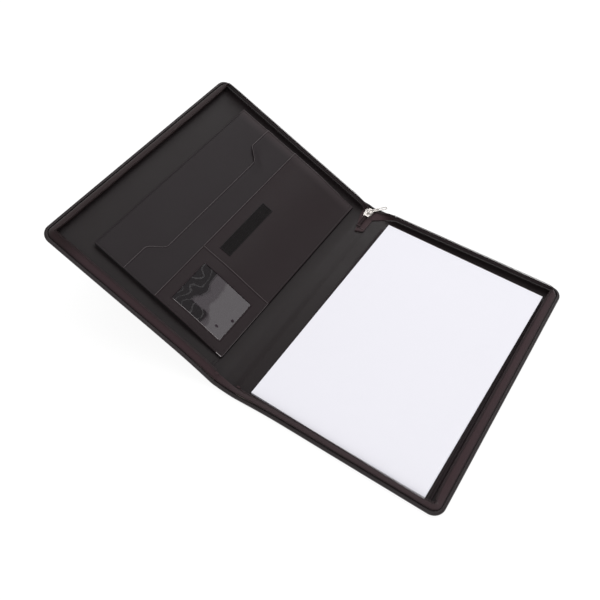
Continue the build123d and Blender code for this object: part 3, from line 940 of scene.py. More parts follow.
PAD_LOW, PAD_TOP = sheet_points[:, 2].min(), sheet_points[:, 2].max()
pad_foot = sheet_corner(-1, -1)
pad_across = sheet_corner(1, -1) - pad_foot
pad_along = sheet_corner(-1, 1) - pad_foot
draw = np.random.default_rng(4)


def on_pad(across, along):
    """Points of the pad, as shares of its width and length from its foot corner by the spine."""
    return pad_foot + np.asarray(across)[..., None] * pad_across + np.asarray(along)[..., None] * pad_along


def pad_stack():
    """The sheets under the top one: thin slabs, each strayed a little."""
    points, faces = [], []
    leaf = (PAD_TOP - PAD_LOW) / SHEETS
    square = on_pad(np.array([0, 1, 1, 0]), np.array([0, 0, 1, 1]))
    for k in range(SHEETS - 1):
        strayed = square + draw.uniform(-SHEET_STRAY, SHEET_STRAY, 2)
        faces.append(bar_faces(2) + len(points))
        for level in (PAD_LOW + k * leaf, PAD_LOW + (k + 0.9) * leaf):
            points += [(x, y, level) for x, y in strayed]
    return points, np.concatenate(faces)


def top_sheet():
    """The sheet on top: nearly flat, with a soft lift at the free foot corner."""
    across, along = lattice(*(np.linspace(0, 1, count) for count in SHEET_GRID))
    flat = on_pad(across, along)
    lift = CORNER_LIFT * np.clip(across - along - 0.35, 0, 1) ** 2 / 0.42
    wave = SHEET_WAVE * ripple(across * 4, along * 5, 2)
    level = PAD_TOP + SHEET_OVER + lift + wave
    points = np.concatenate([flat, level[..., None]], axis=-1).reshape(-1, 3)
    return points, grid_faces(*SHEET_GRID)


def carry(obj, body, slot, *nodes):
    """Let a piece ride on a body and hide the nodes it stands for; slot is not used."""
    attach(obj, body)
    if nodes:
        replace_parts(obj, *nodes)
    return obj


carry(add_mesh("pad_stack", *pad_stack(), paper, False), "right_half", "paper", "pad_sheets")
carry(add_mesh("pad_top_sheet", *top_sheet(), paper), "right_half", "paper")
print("pad:", SHEETS, "sheets")

# %% [markdown]
# ## Leather panels
#
# Every pocket is a panel of leather: a grid with close rows near its border, so that the edge rolls over
# and a sewn groove runs just inside it. A panel may have a curved mouth and a window.

# %% Panels
GROOVE_IN = 2.1 * MM
GROOVE_DEEP, GROOVE_WIDE = 0.14 * MM, 0.35 * MM
BEAD_IN, BEAD_WIDE, BEAD_HIGH = 0.85 * MM, 0.65 * MM, 0.3 * MM
NEAR_EDGE = np.array([0, 0.05, 0.15, 0.3, 0.5, 0.8, 1.1, 1.5, 1.9, 2.3, 3.0, 4.5]) * MM


def on_right(u, y, v):
    """A point of the right cover: u from its crease, v above its outer face."""
    return np.asarray(u, float), y, np.asarray(v, float) - RISE


def border_steps(low, high, pitch, *cuts):
    """Stations from low to high: close at both ends and beside each cut, and even between."""
    sides = [low + NEAR_EDGE, high - NEAR_EDGE, steps(low + NEAR_EDGE[-1], high - NEAR_EDGE[-1], pitch)]
    for first, last in cuts:
        sides += [first - NEAR_EDGE, last + NEAR_EDGE]
    return np.unique(np.concatenate(sides).round(7))


def panel(name, side, u_low, mouth, y_low, y_high, level, thick, finish, slot, window=None, pitch=5 * MM):
    """A leather panel from u_low to mouth(y), lying at level(u, y) on one side of the folio."""
    reach = float(np.max(mouth(np.linspace(y_low, y_high, 50))))
    cuts_u = [window[0]] if window else []
    cuts_y = [window[1]] if window else []
    u_flat = border_steps(u_low, reach, pitch, *cuts_u)
    y_flat = border_steps(y_low, y_high, pitch, *cuts_y)
    u, y = lattice(u_flat, y_flat)
    u = u_low + (u - u_low) * (mouth(y) - u_low) / (reach - u_low)
    inside = np.minimum.reduce([u - u_low, mouth(y) - u, y - y_low, y_high - y])
    faces = grid_faces(len(u_flat), len(y_flat))
    if window:
        (u0, u1), (y0, y1) = window
        beyond = np.hypot(
            np.maximum.reduce([u0 - u, u - u1, 0 * u]), np.maximum.reduce([y0 - y, y - y1, 0 * y])
        )
        inside = np.minimum(inside, beyond)
        middle_u, middle_y = (value.ravel()[faces].mean(axis=1) for value in (u, y))
        kept = ~((middle_u > u0) & (middle_u < u1) & (middle_y > y0) & (middle_y < y1))
        faces = faces[kept]
    radius = thick / 2
    near = np.clip(inside, 0, radius)
    drop = radius - np.sqrt(np.maximum(radius**2 - (radius - near) ** 2, 0))
    groove = GROOVE_DEEP * hump(inside - GROOVE_IN, GROOVE_WIDE)
    bead = BEAD_HIGH * hump(inside - BEAD_IN, BEAD_WIDE)
    base = level(u, y)
    top = side(u, y, base + thick - drop - groove + bead)
    low = side(u, y, base + drop)
    s, y, w = (np.concatenate([np.ravel(a), np.ravel(b)]) for a, b in zip(top, low))
    faces = np.concatenate([faces, faces[:, ::-1] + u.size])
    if side is on_right:
        faces = faces[:, ::-1]
    made = add_folded(name, s, y, w, faces, finish)
    return list(made.values())[0]


def constant(value):
    """A function that gives the same value everywhere."""
    return lambda *where: value + 0 * np.asarray(where[0], float)


pocket_low, pocket_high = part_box("pad_pocket")
POCKET_THICK = 1.0 * MM
POCKET_DROP, SEAM_FLAT, SEAM_SLOPE = 1.2 * MM, 1.5 * MM, 4 * MM


def pocket_level(u, y):
    """The pad pocket swells a little over the pad's card and falls to the lining at its seams."""
    edge = np.minimum.reduce([
        u + CREASE_A[0] - pocket_low.x, pocket_high.x - u - CREASE_A[0], y - pocket_low.y
    ])
    return pocket_high.z - POCKET_THICK - POCKET_DROP * (1 - ease((edge - SEAM_FLAT) / SEAM_SLOPE))


pad_pocket = panel(
    "pad_pocket_panel", on_right, pocket_low.x - CREASE_A[0], constant(pocket_high.x - CREASE_A[0]),
    pocket_low.y, pocket_high.y, pocket_level, POCKET_THICK, pocket_leather, "black_leather", pitch=12 * MM,
)
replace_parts(pad_pocket, "pad_pocket")
print("pad pocket ready")

# %% [markdown]
# ## The organiser
#
# Three layers lie on the left cover. The document pocket stands off the lining on its gussets, and the
# pockets in front of it follow the same soft swell, so no layer cuts another.

# %% Organiser pockets
ROOT = 12 * MM
FOOT_Y, HEAD_Y = -134 * MM, 143 * MM
DOCUMENT_MOUTH, SCOOP_MOUTH, FRONT_MOUTH = 200 * MM, 158 * MM, 112 * MM
SCOOP_DEPTH, SCOOP_LAND, SCOOP_RAMP = 17 * MM, 34 * MM, 22 * MM
DIVIDER_Y = -49 * MM
DOCUMENT_THICK, FRONT_THICK = 0.9 * MM, 0.7 * MM
DOCUMENT_RISE, ROOT_RISE = 5.4 * MM, 1.0 * MM
SWELL_RUN, SWELL_STRAY = 70 * MM, 0.28 * MM
SCOOP_GAPE, RAMP_GAPE, SCOOP_GAPE_RUN = 0.35 * MM, 1.5 * MM, 16 * MM
FRONT_GAPE, FRONT_GAPE_RUN = 0.5 * MM, 9 * MM
DIVIDER_GAP = 0.2 * MM
WINDOW = ((25.5 * MM, 96.5 * MM), (-123 * MM, -65 * MM))
ROOT_SKEW, CORNER_SKEW, FOOT_SKEW, SKEW_FADE = 4 * MM, 1.2 * MM, 4.6 * MM, 12 * MM


def on_organiser(u, y, v):
    """A point of the organiser; its sewn edge runs a little askew to the crease, and its foot corner sags."""
    u, y = np.asarray(u, float), np.asarray(y, float)
    by_root = np.exp(-np.maximum(u - ROOT, 0) / SKEW_FADE)
    by_foot = np.exp(-np.maximum(y - FOOT_Y, 0) / SKEW_FADE)
    along = np.clip((y - FOOT_Y) / (HEAD_Y - FOOT_Y), 0, 1)
    outward = np.clip((DOCUMENT_MOUTH - u) / (DOCUMENT_MOUTH - ROOT), 0, 1)
    askew = CORNER_SKEW + (ROOT_SKEW - CORNER_SKEW) * along
    return on_left(u - askew * by_root, y - FOOT_SKEW * outward * by_foot, v)


def swell(u, y):
    """Height of the document pocket's underside: low at the spine, soft and a little uneven beyond it."""
    depth = ROOT_RISE + (DOCUMENT_RISE - ROOT_RISE) * ease((u - ROOT) / SWELL_RUN)
    return FLOOR + depth + SWELL_STRAY * ripple(u * 26, y * 19, 6)


def scoop(y):
    """The scooped mouth: straight at both ends, with a lower stretch between two S-curves."""
    away = np.minimum(np.asarray(y) - FOOT_Y, HEAD_Y - np.asarray(y))
    return SCOOP_MOUTH - SCOOP_DEPTH * ease((away - SCOOP_LAND) / SCOOP_RAMP)


def scooped_level(u, y):
    """The scooped pocket lies on the document pocket and gapes at its mouth, most at the head S-curve."""
    at_ramp = hump(y - HEAD_Y + SCOOP_LAND + SCOOP_RAMP / 2, SCOOP_GAPE_RUN)
    gape = (SCOOP_GAPE + RAMP_GAPE * at_ramp) * ease(1 - (scoop(y) - u) / SCOOP_GAPE_RUN)
    return swell(u, y) + DOCUMENT_THICK + gape


def front_level(u, y):
    """The front row lies on the scooped pocket and gapes slightly at its mouth."""
    gape = FRONT_GAPE * ease(1 - (FRONT_MOUTH - u) / FRONT_GAPE_RUN)
    return swell(u, y) + DOCUMENT_THICK + FRONT_THICK + gape


ends, front = (FOOT_Y, HEAD_Y), constant(FRONT_MOUTH)
card_ends, accessory_ends = (FOOT_Y, DIVIDER_Y - DIVIDER_GAP), (DIVIDER_Y + DIVIDER_GAP, HEAD_Y)
PANELS = (
    ("document", constant(DOCUMENT_MOUTH), ends, swell, DOCUMENT_THICK, panel_leather, {}),
    ("scooped", scoop, ends, scooped_level, FRONT_THICK, panel_leather, {"pitch": 4 * MM}),
    ("card", front, card_ends, front_level, FRONT_THICK, pocket_leather, {"window": WINDOW}),
    ("accessory", front, accessory_ends, front_level, FRONT_THICK, pocket_leather, {}),
)
for name, mouth, span, level, thick, finish, more in PANELS:
    shape = (on_organiser, ROOT, mouth, *span, level, thick)
    piece = panel(name + "_panel", *shape, finish, "black_leather", **more)
    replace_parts(piece, name + "_pocket")
print("organiser panels:", len(PANELS))

# %% [markdown]
# The gussets fold inward between the document pocket and the lining. The clear window has creases in one
# half and is smooth in the other, and the seam between the front pockets is a low ridge.

# %% Gussets, window film and seam
GUSSET_FOLD, GUSSET_IN, FOLD_ROWS = 8 * MM, 0.4 * MM, 9
DIVIDER_WIDE, DIVIDER_HIGH = 2.6 * MM, 0.75 * MM
CRUMPLE, FILM_BOW = 0.22 * MM, 0.35 * MM
FILM_TUCK, FILM_PITCH, FILM_OVER = 1.6 * MM, 0.9 * MM, 0.3 * MM


def gusset(name, edge, inward):
    """A bellows gusset: a strip from the lining to the panel, folded in at half its height."""
    u = steps(ROOT + 1 * MM, DOCUMENT_MOUTH - 0.5 * MM, 5 * MM)
    grid_u, grid_t = lattice(u, np.linspace(0, 1, FOLD_ROWS))
    top = swell(grid_u, edge + 0 * grid_u) - 0.1 * MM
    low = FLOOR + 0.3 * MM
    crown = np.clip((top - low) / (3 * MM), 0.1, 1)
    y = edge + inward * (GUSSET_IN + GUSSET_FOLD * crown * (1 - abs(2 * grid_t - 1) ** 1.3))
    v = low + (top - low) * grid_t
    made = add_grid(name, *on_organiser(grid_u, y, v), gusset_cloth, "lining_cloth")
    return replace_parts(made[LEFT], name)


for name, edge, inward in (
    ("document_gusset_foot", FOOT_Y + GUSSET_IN, 1), ("document_gusset_head", HEAD_Y - GUSSET_IN, -1)
):
    gusset(name, edge, inward).name = name + "_fold"


def window_film():
    """The film, tucked under the frame all round: creased towards the mouth and head, smooth elsewhere."""
    (u0, u1), (y0, y1) = WINDOW
    u, y = lattice(*(steps(low - FILM_TUCK, high + FILM_TUCK, FILM_PITCH) for low, high in WINDOW))
    a, b = (u - u0) / (u1 - u0), (y - y0) / (y1 - y0)
    creased = ease((a - 0.42 + 0.25 * (1 - b)) / 0.3)
    crumple = ripple(a * 5.2, b * 4.1, 8)
    inside = np.minimum.reduce([u - u0, u1 - u, y - y0, y1 - y]) / (5 * MM)
    bow = FILM_BOW * np.sin(np.pi * np.clip(b, 0, 1)) * np.sin(np.pi * np.clip(a, 0, 1))
    lift = (CRUMPLE * creased * crumple + bow) * ease(inside)
    v = swell(u, y) + DOCUMENT_THICK + FRONT_THICK + FILM_OVER + lift
    made = add_grid("window_film", *on_organiser(u, y, v), film, "clear_film")
    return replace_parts(made[LEFT], "card_window")


film_corner, film_mouth = (place(*on_left(u, WINDOW[1][0], FLOOR)) for u in WINDOW[0])
film_across = (film_mouth - film_corner) / (WINDOW[0][1] - WINDOW[0][0]) ** 2
film_along = (0, 1 / (WINDOW[1][1] - WINDOW[1][0]), 0)
film = clear_film("film", tuple(film_corner), tuple(film_across), film_along)
window = window_film()


def ridge():
    """The raised seam between the card pocket and the accessory pocket."""
    u = steps(ROOT, FRONT_MOUTH + 0.5 * MM, 3 * MM)
    grid_u, grid_t = lattice(u, np.linspace(0, math.pi, FOLD_ROWS))
    y = DIVIDER_Y - DIVIDER_WIDE / 2 * np.cos(grid_t) + 0.15 * MM * ripple(grid_u * 50, 0, 4)
    v = front_level(grid_u, y) + FRONT_THICK - 0.25 * MM + DIVIDER_HIGH * np.sin(grid_t)
    made = add_grid("divider_ridge", *on_organiser(grid_u, y, v), pocket_leather, "black_leather")
    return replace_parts(made[LEFT], "pocket_divider")


ridge()
print("window film:", len(window.data.vertices), "points")

# %% [markdown]
# The cut edges of the pockets are turned and pressed. Their fine pale lines are painted highlight: the rolls
# are leather much lighter than the pockets, nearly white (a painted glint) at the organiser's foot corner and
# the window's foot hem. The near-black rolls along the root and the window's head hem are painted shadow.

# %% Turned edges
EDGE_RADIUS, SHADOW_LINE_RADIUS, GLINT_RADIUS = 0.33 * MM, 0.55 * MM, 0.45 * MM
EDGE_SIDES = 6
EDGE_IN = 0.35 * MM


def top_level(u, y):
    """The top of whichever pocket lies uppermost at a point of the organiser."""
    front = front_level(u, y) + FRONT_THICK
    middle = scooped_level(u, y) + FRONT_THICK
    return np.where(u < FRONT_MOUTH, front, np.where(u < scoop(y), middle, swell(u, y) + DOCUMENT_THICK))


def organiser_line(u, y, v):
    """Folded points of the organiser, and the way up at each."""
    line = place(*on_organiser(u, y, v))
    return line, unit(place(*on_organiser(u, y, v + MM)) - line)


def turned_edge(name, u, y, level, above, finish=edge_leather, radius=EDGE_RADIUS):
    """A fine roll along a line of the organiser, above the level that a function gives."""
    u, y = np.broadcast_arrays(np.asarray(u, float), np.asarray(y, float))
    line, up = organiser_line(u, y, level(u, y) + above)
    side = np.cross(up, unit(np.gradient(line, axis=0)))
    turn = np.linspace(0, 2 * math.pi, EDGE_SIDES, endpoint=False)[:, None, None]
    points = line + radius * (np.cos(turn) * side + np.sin(turn) * up)
    faces = grid_faces(EDGE_SIDES, len(line), wrap=True)
    return carry(add_mesh(name, points.reshape(-1, 3), faces, finish), "left_half", "black_leather")


def foot_level(u, _):
    """The front row's level at its very foot, whatever the roll's own place."""
    return front_level(u, FOOT_Y)


edge_y = steps(FOOT_Y + 0.5 * MM, HEAD_Y - 0.5 * MM, 2 * MM)
edge_u = steps(ROOT + 20 * MM, DOCUMENT_MOUTH - 0.5 * MM, 2 * MM)
seam_u = steps(ROOT + 0.5 * MM, FRONT_MOUTH, 3 * MM)
corner_u = steps(ROOT + 1 * MM, ROOT + 8 * MM, 1 * MM)
hem_u = steps(WINDOW[0][0] + 2 * MM, WINDOW[0][1] - 1 * MM, 2 * MM)
tuck_y = steps(FOOT_Y - 3 * MM, FOOT_Y - 15 * MM, 1 * MM)
root_y = edge_y[edge_y < DIVIDER_Y]
on_root, on_floor = constant(FLOOR + ROOT_RISE), constant(FLOOR)
# Pale rolls here are painted highlight, and near-black rolls painted shadow.
EDGES = (
    ("front_edge", FRONT_MOUTH - EDGE_IN, edge_y, front_level, FRONT_THICK),
    ("scooped_edge", scoop(edge_y) - EDGE_IN, edge_y, scooped_level, FRONT_THICK),
    ("head_edge", edge_u, HEAD_Y - EDGE_IN, top_level, 0),
    ("root_edge", ROOT + EDGE_IN, root_y, front_level, FRONT_THICK),
    # Painted shadow: a near-black roll along the root gap, and another on the window's head hem.
    ("root_fold", ROOT - EDGE_IN, edge_y, on_root, FRONT_THICK, crease_leather, SHADOW_LINE_RADIUS),
    ("seam_edge", seam_u, DIVIDER_Y, front_level, FRONT_THICK + DIVIDER_HIGH - 0.3 * MM),
    ("corner_edge", corner_u, FOOT_Y + EDGE_IN, foot_level, FRONT_THICK, glint_leather, GLINT_RADIUS),
    ("hem_foot", hem_u, WINDOW[1][0], front_level, FRONT_THICK / 2, glint_leather),
    ("hem_head", hem_u, WINDOW[1][1], front_level, FRONT_THICK / 2, crease_leather),
    ("lining_tuck_0", ROOT + 0.5 * MM, tuck_y, on_floor, 0.1 * MM, tuck_leather),
    ("lining_tuck_1", ROOT + 3.5 * MM, tuck_y, on_floor, 0.1 * MM, tuck_leather),
)
for edge in EDGES:
    turned_edge(*edge)
print("turned edges:", len(EDGES))

# %% [markdown]
# The hook strip is a woven band covered in tiny hooks. Each hook is a short bristle that bends over at
# its top.

# %% Hook strip
HOOK_U, HOOK_Y = (81 * MM, 97 * MM), (-37 * MM, 51 * MM)
HOOK_PITCH = 1.25 * MM
HOOK_BASE, HOOK_IN = 0.55 * MM, 1.2 * MM
HOOK_BENDS = (0.16 * MM, 0.34 * MM)


def hook_level(u, y):
    """The top of the accessory pocket, which the strip is sewn to."""
    return front_level(u, y) + FRONT_THICK


hook_band = panel(
    "hook_band", on_organiser, HOOK_U[0], constant(HOOK_U[1]), *HOOK_Y, hook_level, HOOK_BASE, hook_cloth,
    "hook_fabric",
)
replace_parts(hook_band, "hook_strip")
bristle = tooth_shape([(0, 0.16, 0.13), (0.5, 0.15, 0.12), (0.8, 0.13, 0.11), (0.9, 0.05, 0.05)])
bristle[0][8:12, 2] += HOOK_BENDS[0]
bristle[0][12:16, 2] += HOOK_BENDS[1]
hook_rows = (steps(low + HOOK_IN, high - HOOK_IN, HOOK_PITCH) for low, high in (HOOK_U, HOOK_Y))
hook_u, hook_y = (value.ravel() for value in lattice(*hook_rows))
hook_foot, hook_up = organiser_line(hook_u, hook_y, hook_level(hook_u, hook_y) + HOOK_BASE - 0.1 * MM)
hook_along = np.broadcast_to((0.0, 1.0, 0.0), hook_up.shape)
hook_ways = np.stack([np.cross(hook_along, hook_up), hook_up, hook_along], axis=1)
hooks = add_mesh("hooks", *scatter(bristle, hook_foot, hook_ways), hook_cloth, False)
carry(hooks, "left_half", "hook_fabric")
print("hooks:", len(hook_u))

# %% [markdown]
# ## The zip's end
#
# The two tapes leave the walls, twist over the creases and meet in the slider. Below it they lie
# side by side as a short stub, whose end wanders a little to one side and is sewn to the spine.

# %% Tails and stub
hinge = np.array(joints["pull_hinge"]["pos_m"])
SPINE_WAY = (CREASE_B - CREASE_A) / RUN
MID = float((hinge - CREASE_A) @ SPINE_WAY)
slider_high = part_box("slider_body")[1]
MOUTH_Y = slider_high.y
STUB_HALF, STUB_SLIT = 9 * MM, 1.4 * MM
STUB_LEVEL = 3.6 * MM - RISE
STUB_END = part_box("stub_tape")[0].y
PATCH_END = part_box("stub_patch")[0].y + 2.9 * MM
STUB_POINT, STUB_OVER, STUB_CLEAR = 4 * MM, 0.5 * MM, 2.8 * MM
STUB_FADE = 36 * MM
LEFT_DRIFT, RIGHT_DRIFT = 8 * MM, 3.5 * MM
STUB_BULGE_Y, STUB_BULGE_OUT, STUB_BULGE_REACH = 138 * MM, 8 * MM, 14 * MM
TAIL_GRID = (40, 7)
TAIL_REACH = 3 * MM
STUB_ROWS, STUB_THICK, STUB_STITCH = 13, 0.5 * MM, 2.8 * MM
wall_top_e, wall_top_v = (float(value[-1, 0]) for value in along_wall([TAPE_RISE]))


def bezier(points, t):
    """A smooth curve led by four points."""
    a, b, c, d = (np.asarray(point, float) for point in points)
    t = t[:, None]
    return a * (1 - t) ** 3 + 3 * b * t * (1 - t) ** 2 + 3 * c * t**2 * (1 - t) + d * t**3


def tail(name, hand):
    """One loose tape from the slider to its wall; hand is 1 for the right one and -1 for the left one."""
    t = np.linspace(0, 1, TAIL_GRID[0])
    mid = MID if hand > 0 else RUN - MID
    wall_y, top_y = HALF - inset[0], HALF - wall_top_e
    root_w, top_w = TAPE_ROOT_V - RISE, wall_top_v - RISE
    start, level = -mid + STUB_SLIT + 1.5 * MM, STUB_LEVEL
    first, last = (-mid + STUB_HALF, MOUTH_Y - 3 * MM, level), (TAIL, wall_y, root_w)
    if hand > 0:
        first = (-mid + STUB_HALF, MOUTH_Y - 15 * MM, level + 1 * MM)
        low = (0.15 * TAIL, MOUTH_Y - 11 * MM, level + 1.2 * MM), (0.5 * TAIL, wall_y - 5 * MM, root_w)
        near_y = wall_y - 2 * MM
        high = (start + 4 * MM, near_y, level + 2.5 * MM), (0.4 * TAIL, near_y, 0.42 * top_w)
    else:
        low = (-mid + STUB_HALF + 1 * MM, wall_y - 1 * MM, level), (0.3 * TAIL, wall_y, root_w)
        high = (start + 3 * MM, MOUTH_Y - 1 * MM, level + 5 * MM), (0.1 * TAIL, top_y - 1 * MM, 1.12 * top_w)
    outer = bezier([first, *low, last], t)
    inner = bezier([(start, MOUTH_Y - 1 * MM, level), *high, (TAIL, top_y, top_w)], t)
    share = np.linspace(0, 1, TAIL_GRID[1])[None, :, None]
    strip = outer[:, None] * (1 - share) + inner[:, None] * share
    if hand < 0:
        strip[..., 0] = -RUN - strip[..., 0]
    made = add_grid(name + "_tape", *(strip[..., k] for k in range(3)), tape_cloth, "zip_tape")
    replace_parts(next(iter(made.values())), name)
    line, edge = place(*strip[:, -2].T), place(*strip[:, -1].T)
    edge = line + unit(edge - line) * TAIL_REACH
    spots = even_points(edge, COIL_PITCH)
    origin, turn = frames_along(edge, edge + unit(edge - line) * MM, spots)
    at_s = at_fraction(strip[:, -1], spots)[:, 0]
    add_scattered(name + "_coil", coil_tooth, origin, turn, at_s, coil_nylon)


tail("zip_tail_right", 1)
tail("zip_tail_left", -1)


def stub_spot(p, y):
    """Where the stub's tape lies: its end is pointed and has wandered right, and its right edge bulges."""
    out = p / STUB_HALF
    late = ease((PATCH_END + STUB_FADE - y) / STUB_FADE)
    bulge = STUB_BULGE_OUT * hump(y - STUB_BULGE_Y, STUB_BULGE_REACH)
    right = np.minimum(RIGHT_DRIFT * late + bulge, MID - STUB_HALF - STUB_CLEAR)
    aside = np.where(out < 0, -out * LEFT_DRIFT * late, out * right)
    return -MID + p + aside, y + STUB_POINT * abs(out) * ease((STUB_END + 7 * MM - y) / (11 * MM))


def stub_sheet(name, node, y_from, y_to, p_from, p_to, lift):
    """A flat piece of the stub's tape; near its sewn end it comes down onto the spine."""
    grid_y, grid_p = lattice(steps(y_from, y_to, 1 * MM), np.linspace(p_from, p_to, STUB_ROWS))
    w = stub_height(grid_y) + lift + 0.15 * MM * ripple(grid_y * 120, grid_p * 60, 9)
    s, y = stub_spot(grid_p, grid_y)
    w = np.maximum(w, floor_height(s, y) + STUB_OVER + lift)
    made = add_mesh(name, place(s.ravel(), y.ravel(), w.ravel()), grid_faces(*grid_y.shape), stub_cloth)
    thick = made.modifiers.new("thickness", "SOLIDIFY")
    thick.thickness = STUB_THICK
    thick.offset = 0
    return carry(made, "spine", "zip_tape", node)


def stub_height(y):
    """Height of the stub's tape over the sheet's middle line."""
    fall = ease((STUB_END + 1 * MM - y) / (6 * MM))
    return STUB_LEVEL + (SPINE_FLOOR + 0.4 * MM - STUB_LEVEL) * fall


stub_sheet("stub_right", "stub_tape", MOUTH_Y - 1 * MM, STUB_END, STUB_SLIT, STUB_HALF, 0)
stub_sheet("stub_left", "stub_tape", MOUTH_Y - 1 * MM, STUB_END, -STUB_HALF, -STUB_SLIT, 0)
stub_sheet("stub_end", "stub_patch", STUB_END + 5 * MM, PATCH_END, -STUB_HALF, STUB_HALF, 0.55 * MM)


def stub_seam():
    """Stitches across the stub's sewn end."""
    p = np.linspace(-STUB_HALF + 1 * MM, STUB_HALF - 1 * MM, 12)
    for k, y in enumerate((STUB_END + 3.5 * MM, PATCH_END + 1.2 * MM)):
        s, at_y = stub_spot(p, y)
        w = np.maximum(stub_height(y), floor_height(s, at_y) + STUB_OVER) + 0.85 * MM
        stitch_row(f"stub_stitch_{k}", s, at_y, w, pitch=STUB_STITCH)


stub_seam()
print("tails and stub ready")

# %% [markdown]
# The pull is a ring of flat wire with a web in its middle, drawn in place of the CAD pull. It hangs loose
# on the slider's bridge, and here it has swung out over the head.

# %% Pull
PULL_SWING, PULL_DROOP = math.radians(33), math.radians(5.5)
PULL_LONG, PULL_HALF, PULL_ROOT_HALF = 27.5 * MM, 1.6 * MM, 3.4 * MM
WIRE_WIDE, WIRE_THICK = 0.75 * MM, 0.5 * MM
PULL_NECK = (2.5 * MM, 6.5 * MM)
PULL_WEB, WEB_THICK = (5.4 * MM, 15.5 * MM), 0.3 * MM


def pull_ring():
    """A ring, wide at the bridge, then narrow and long with a round end, and a web that fills its middle."""
    end = PULL_LONG - PULL_HALF
    straight = np.linspace(0, end, 24)
    wide = PULL_ROOT_HALF - PULL_HALF
    half = PULL_HALF + wide * (1 - ease((straight - PULL_NECK[0]) / (PULL_NECK[1] - PULL_NECK[0])))
    turn = np.linspace(math.pi / 2, -math.pi / 2, 13)[1:-1]
    x = np.concatenate([straight, end + PULL_HALF * np.cos(turn), straight[::-1]])
    y = np.concatenate([half, PULL_HALF * np.sin(turn), -half[::-1]])
    up = np.array([SPINE_WAY[2], 0, -SPINE_WAY[0]])
    ahead = np.array([0, math.cos(PULL_SWING), 0]) - SPINE_WAY * math.sin(PULL_SWING)
    across = np.cross(up, ahead)
    ahead = ahead * math.cos(PULL_DROOP) - up * math.sin(PULL_DROOP)
    up = np.cross(ahead, across)
    line = hinge + x[:, None] * ahead + y[:, None] * across
    along = unit(np.roll(line, -1, axis=0) - np.roll(line, 1, axis=0))
    out = np.cross(along, up)
    turn = np.linspace(0, 2 * math.pi, 8)
    ring = line[:, None] + WIRE_WIDE * np.cos(turn)[None, :, None] * out[:, None]
    ring = ring + WIRE_THICK * np.sin(turn)[None, :, None] * up
    web = np.array([
        hinge + x * ahead + a * PULL_HALF * across + b * WEB_THICK * up for x in PULL_WEB for a, b in SQUARE
    ])
    ring_faces = grid_faces(len(line), len(turn), wrap=True)
    faces = np.concatenate([ring_faces, bar_faces(2) + len(line) * len(turn)])
    return np.concatenate([ring.reshape(-1, 3), web]), faces


carry(add_mesh("pull_ring", *pull_ring(), nickel), "pull", "nickel", "pull_tab")
print("pull ready")

# %% [markdown]
# ## Stitching and metal
#
# Rows of stitches hold the pockets. The slider, the chain under it, the stops, the boards, the pad's card
# and its gum are the CAD nodes themselves, with finishes of their own.

# %% Stitching and CAD finishes


def organiser_row(name, u, y, level, thick):
    """Stitches along a line of the organiser, lying on a panel's top."""
    u, y = np.broadcast_arrays(np.asarray(u, float), np.asarray(y, float))
    s, y, w = on_organiser(u, y, level(u, y) + thick - 0.02 * MM)
    return stitch_row(name, s, y, w)


rows_y = steps(FOOT_Y + GROOVE_IN, HEAD_Y - GROOVE_IN, 3 * MM)
beyond_scoop = steps(SCOOP_MOUTH + 2 * MM, DOCUMENT_MOUTH - 2 * MM, 3 * MM)
before_front = steps(ROOT + GROOVE_IN, FRONT_MOUTH - 2 * MM, 3 * MM)
between = steps(FRONT_MOUTH + 2 * MM, SCOOP_MOUTH - 2 * MM, 3 * MM)
for end, y in (("foot", FOOT_Y + GROOVE_IN), ("head", HEAD_Y - GROOVE_IN)):
    organiser_row(f"document_stitch_{end}", beyond_scoop, y, swell, DOCUMENT_THICK)
    organiser_row(f"scooped_stitch_{end}", between, y, scooped_level, FRONT_THICK)
    organiser_row(f"front_stitch_{end}", before_front, y, front_level, FRONT_THICK)
organiser_row("root_stitch", ROOT + GROOVE_IN, rows_y, front_level, FRONT_THICK)
organiser_row("mouth_stitch", DOCUMENT_MOUTH - GROOVE_IN, rows_y, swell, DOCUMENT_THICK)
pocket_rows = steps(pocket_low.y + GROOVE_IN, pocket_high.y - GROOVE_IN, 4 * MM)
for end, x in (("spine", pocket_low.x + GROOVE_IN), ("fore", pocket_high.x - GROOVE_IN)):
    u = x - CREASE_A[0] + 0 * pocket_rows
    stitch_row(f"pocket_stitch_{end}", *on_right(u, pocket_rows, pocket_level(u, pocket_rows) + POCKET_THICK))

NODE_FINISHES = {
    nickel: ("slider_body",),
    stop_nylon: ("right_top_stop", "left_top_stop"),
    chain_nylon: ("stub_chain", "stub_stop"),
    board: ("right_board", "left_board"),
    card: ("pad_card",),
    glue: ("pad_gum",),
}
for finish, names in NODE_FINISHES.items():
    for name in names:
        node = frame["nodes"][name]
        node.data.materials.clear()
        node.data.materials.append(finish)
print("stitch rows and metal ready")

# %% [markdown]
# ## Light, floor and camera
#
# The light is a white room: a big soft panel from behind and above, and an even, dimmer surround. The
# floor glows a little, so that it stays white and keeps only the soft shadow round the folio.

# %% Light, floor and camera
SURROUND = 0.5
LAMPS = {
    "key": (26.0, 2.2, Vector((0.45, 1.2, 2.3)), 1.0),
    "fill": (15.0, 2.0, Vector((0.3, -1.5, 2.0)), 0.1),
    "back": (11.0, 0.9, Vector((-0.87, 1.67, 1.4)), 1.0),
}
FLOOR_TONE = 0.2
FLOOR_GLOW = 0.86
FLOOR_HALF = 4.0
CAMERA_AT = Vector((139.0, -411.1, 644.5)) * MM
CAMERA_AHEAD = Vector((-0.3422, 0.4918, -0.8006))
CAMERA_UP = Vector((-0.4356, 0.672, 0.5989))
LENS, SENSOR = 39.83, 36.0

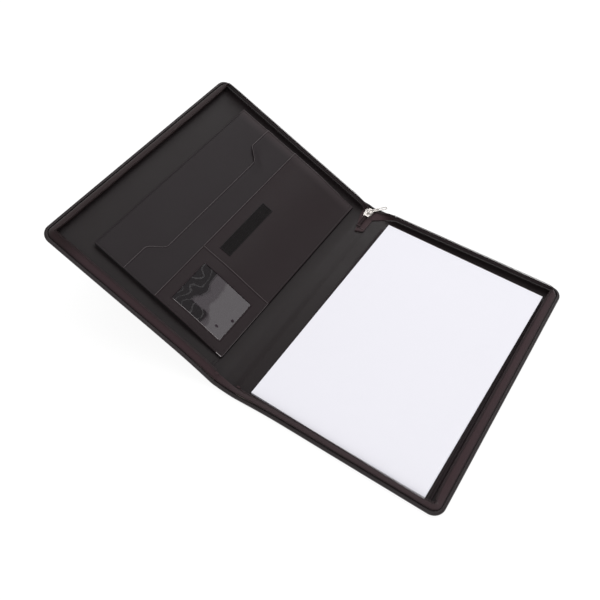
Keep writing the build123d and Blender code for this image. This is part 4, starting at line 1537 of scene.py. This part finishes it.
world = bpy.data.worlds.new("white_room")
bpy.context.scene.world = world
world.use_nodes = True
world_nodes, world_links = world.node_tree.nodes, world.node_tree.links
backdrop = world_nodes["Background"]
backdrop.inputs["Color"].default_value = (1, 1, 1, 1)
path = world_nodes.new("ShaderNodeLightPath")
bright = world_nodes.new("ShaderNodeMapRange")
bright.inputs["To Min"].default_value = SURROUND
bright.inputs["To Max"].default_value = 1.0
world_links.new(path.outputs["Is Camera Ray"], bright.inputs["Value"])
world_links.new(bright.outputs["Result"], backdrop.inputs["Strength"])

for name, (power, size, where, gloss) in LAMPS.items():
    lamp = bpy.data.lights.new(name, "AREA")
    lamp.energy = power
    lamp.size = size
    lamp.specular_factor = gloss
    holder = bpy.data.objects.new(name, lamp)
    holder.location = where
    holder.rotation_mode = "QUATERNION"
    holder.rotation_quaternion = (-where).to_track_quat("-Z", "Y")
    bpy.context.scene.collection.objects.link(holder)

floor_finish = Finish("floor")
floor_mottle = floor_finish.noise(3, 2.0)
floor_finish.set(
    Base_Color=floor_mottle.blend((FLOOR_TONE,) * 3, (1.05 * FLOOR_TONE,) * 3),
    Roughness=0.9,
    Specular_IOR_Level=0.0,
    Emission_Color=(1, 1, 1),
    Emission_Strength=FLOOR_GLOW,
)
floor_z = cad_box[0].z - 0.1 * MM
floor = add_mesh(
    "floor", [(x * FLOOR_HALF, y * FLOOR_HALF, floor_z) for x, y in SQUARE], [(0, 1, 2, 3)],
    floor_finish.material, False,
)

lens = bpy.data.cameras.new("camera")
lens.lens = LENS
lens.sensor_width = SENSOR
lens.clip_start, lens.clip_end = 0.01, 50
camera = bpy.data.objects.new("camera", lens)
bpy.context.scene.collection.objects.link(camera)
ahead = CAMERA_AHEAD.normalized()
right = ahead.cross(CAMERA_UP).normalized()
up = right.cross(ahead)
turn = Matrix((right, up, -ahead)).transposed().to_4x4()
camera.matrix_world = Matrix.Translation(CAMERA_AT) @ turn
bpy.context.scene.camera = camera
bpy.context.scene.view_settings.view_transform = "Standard"
print("stage ready")
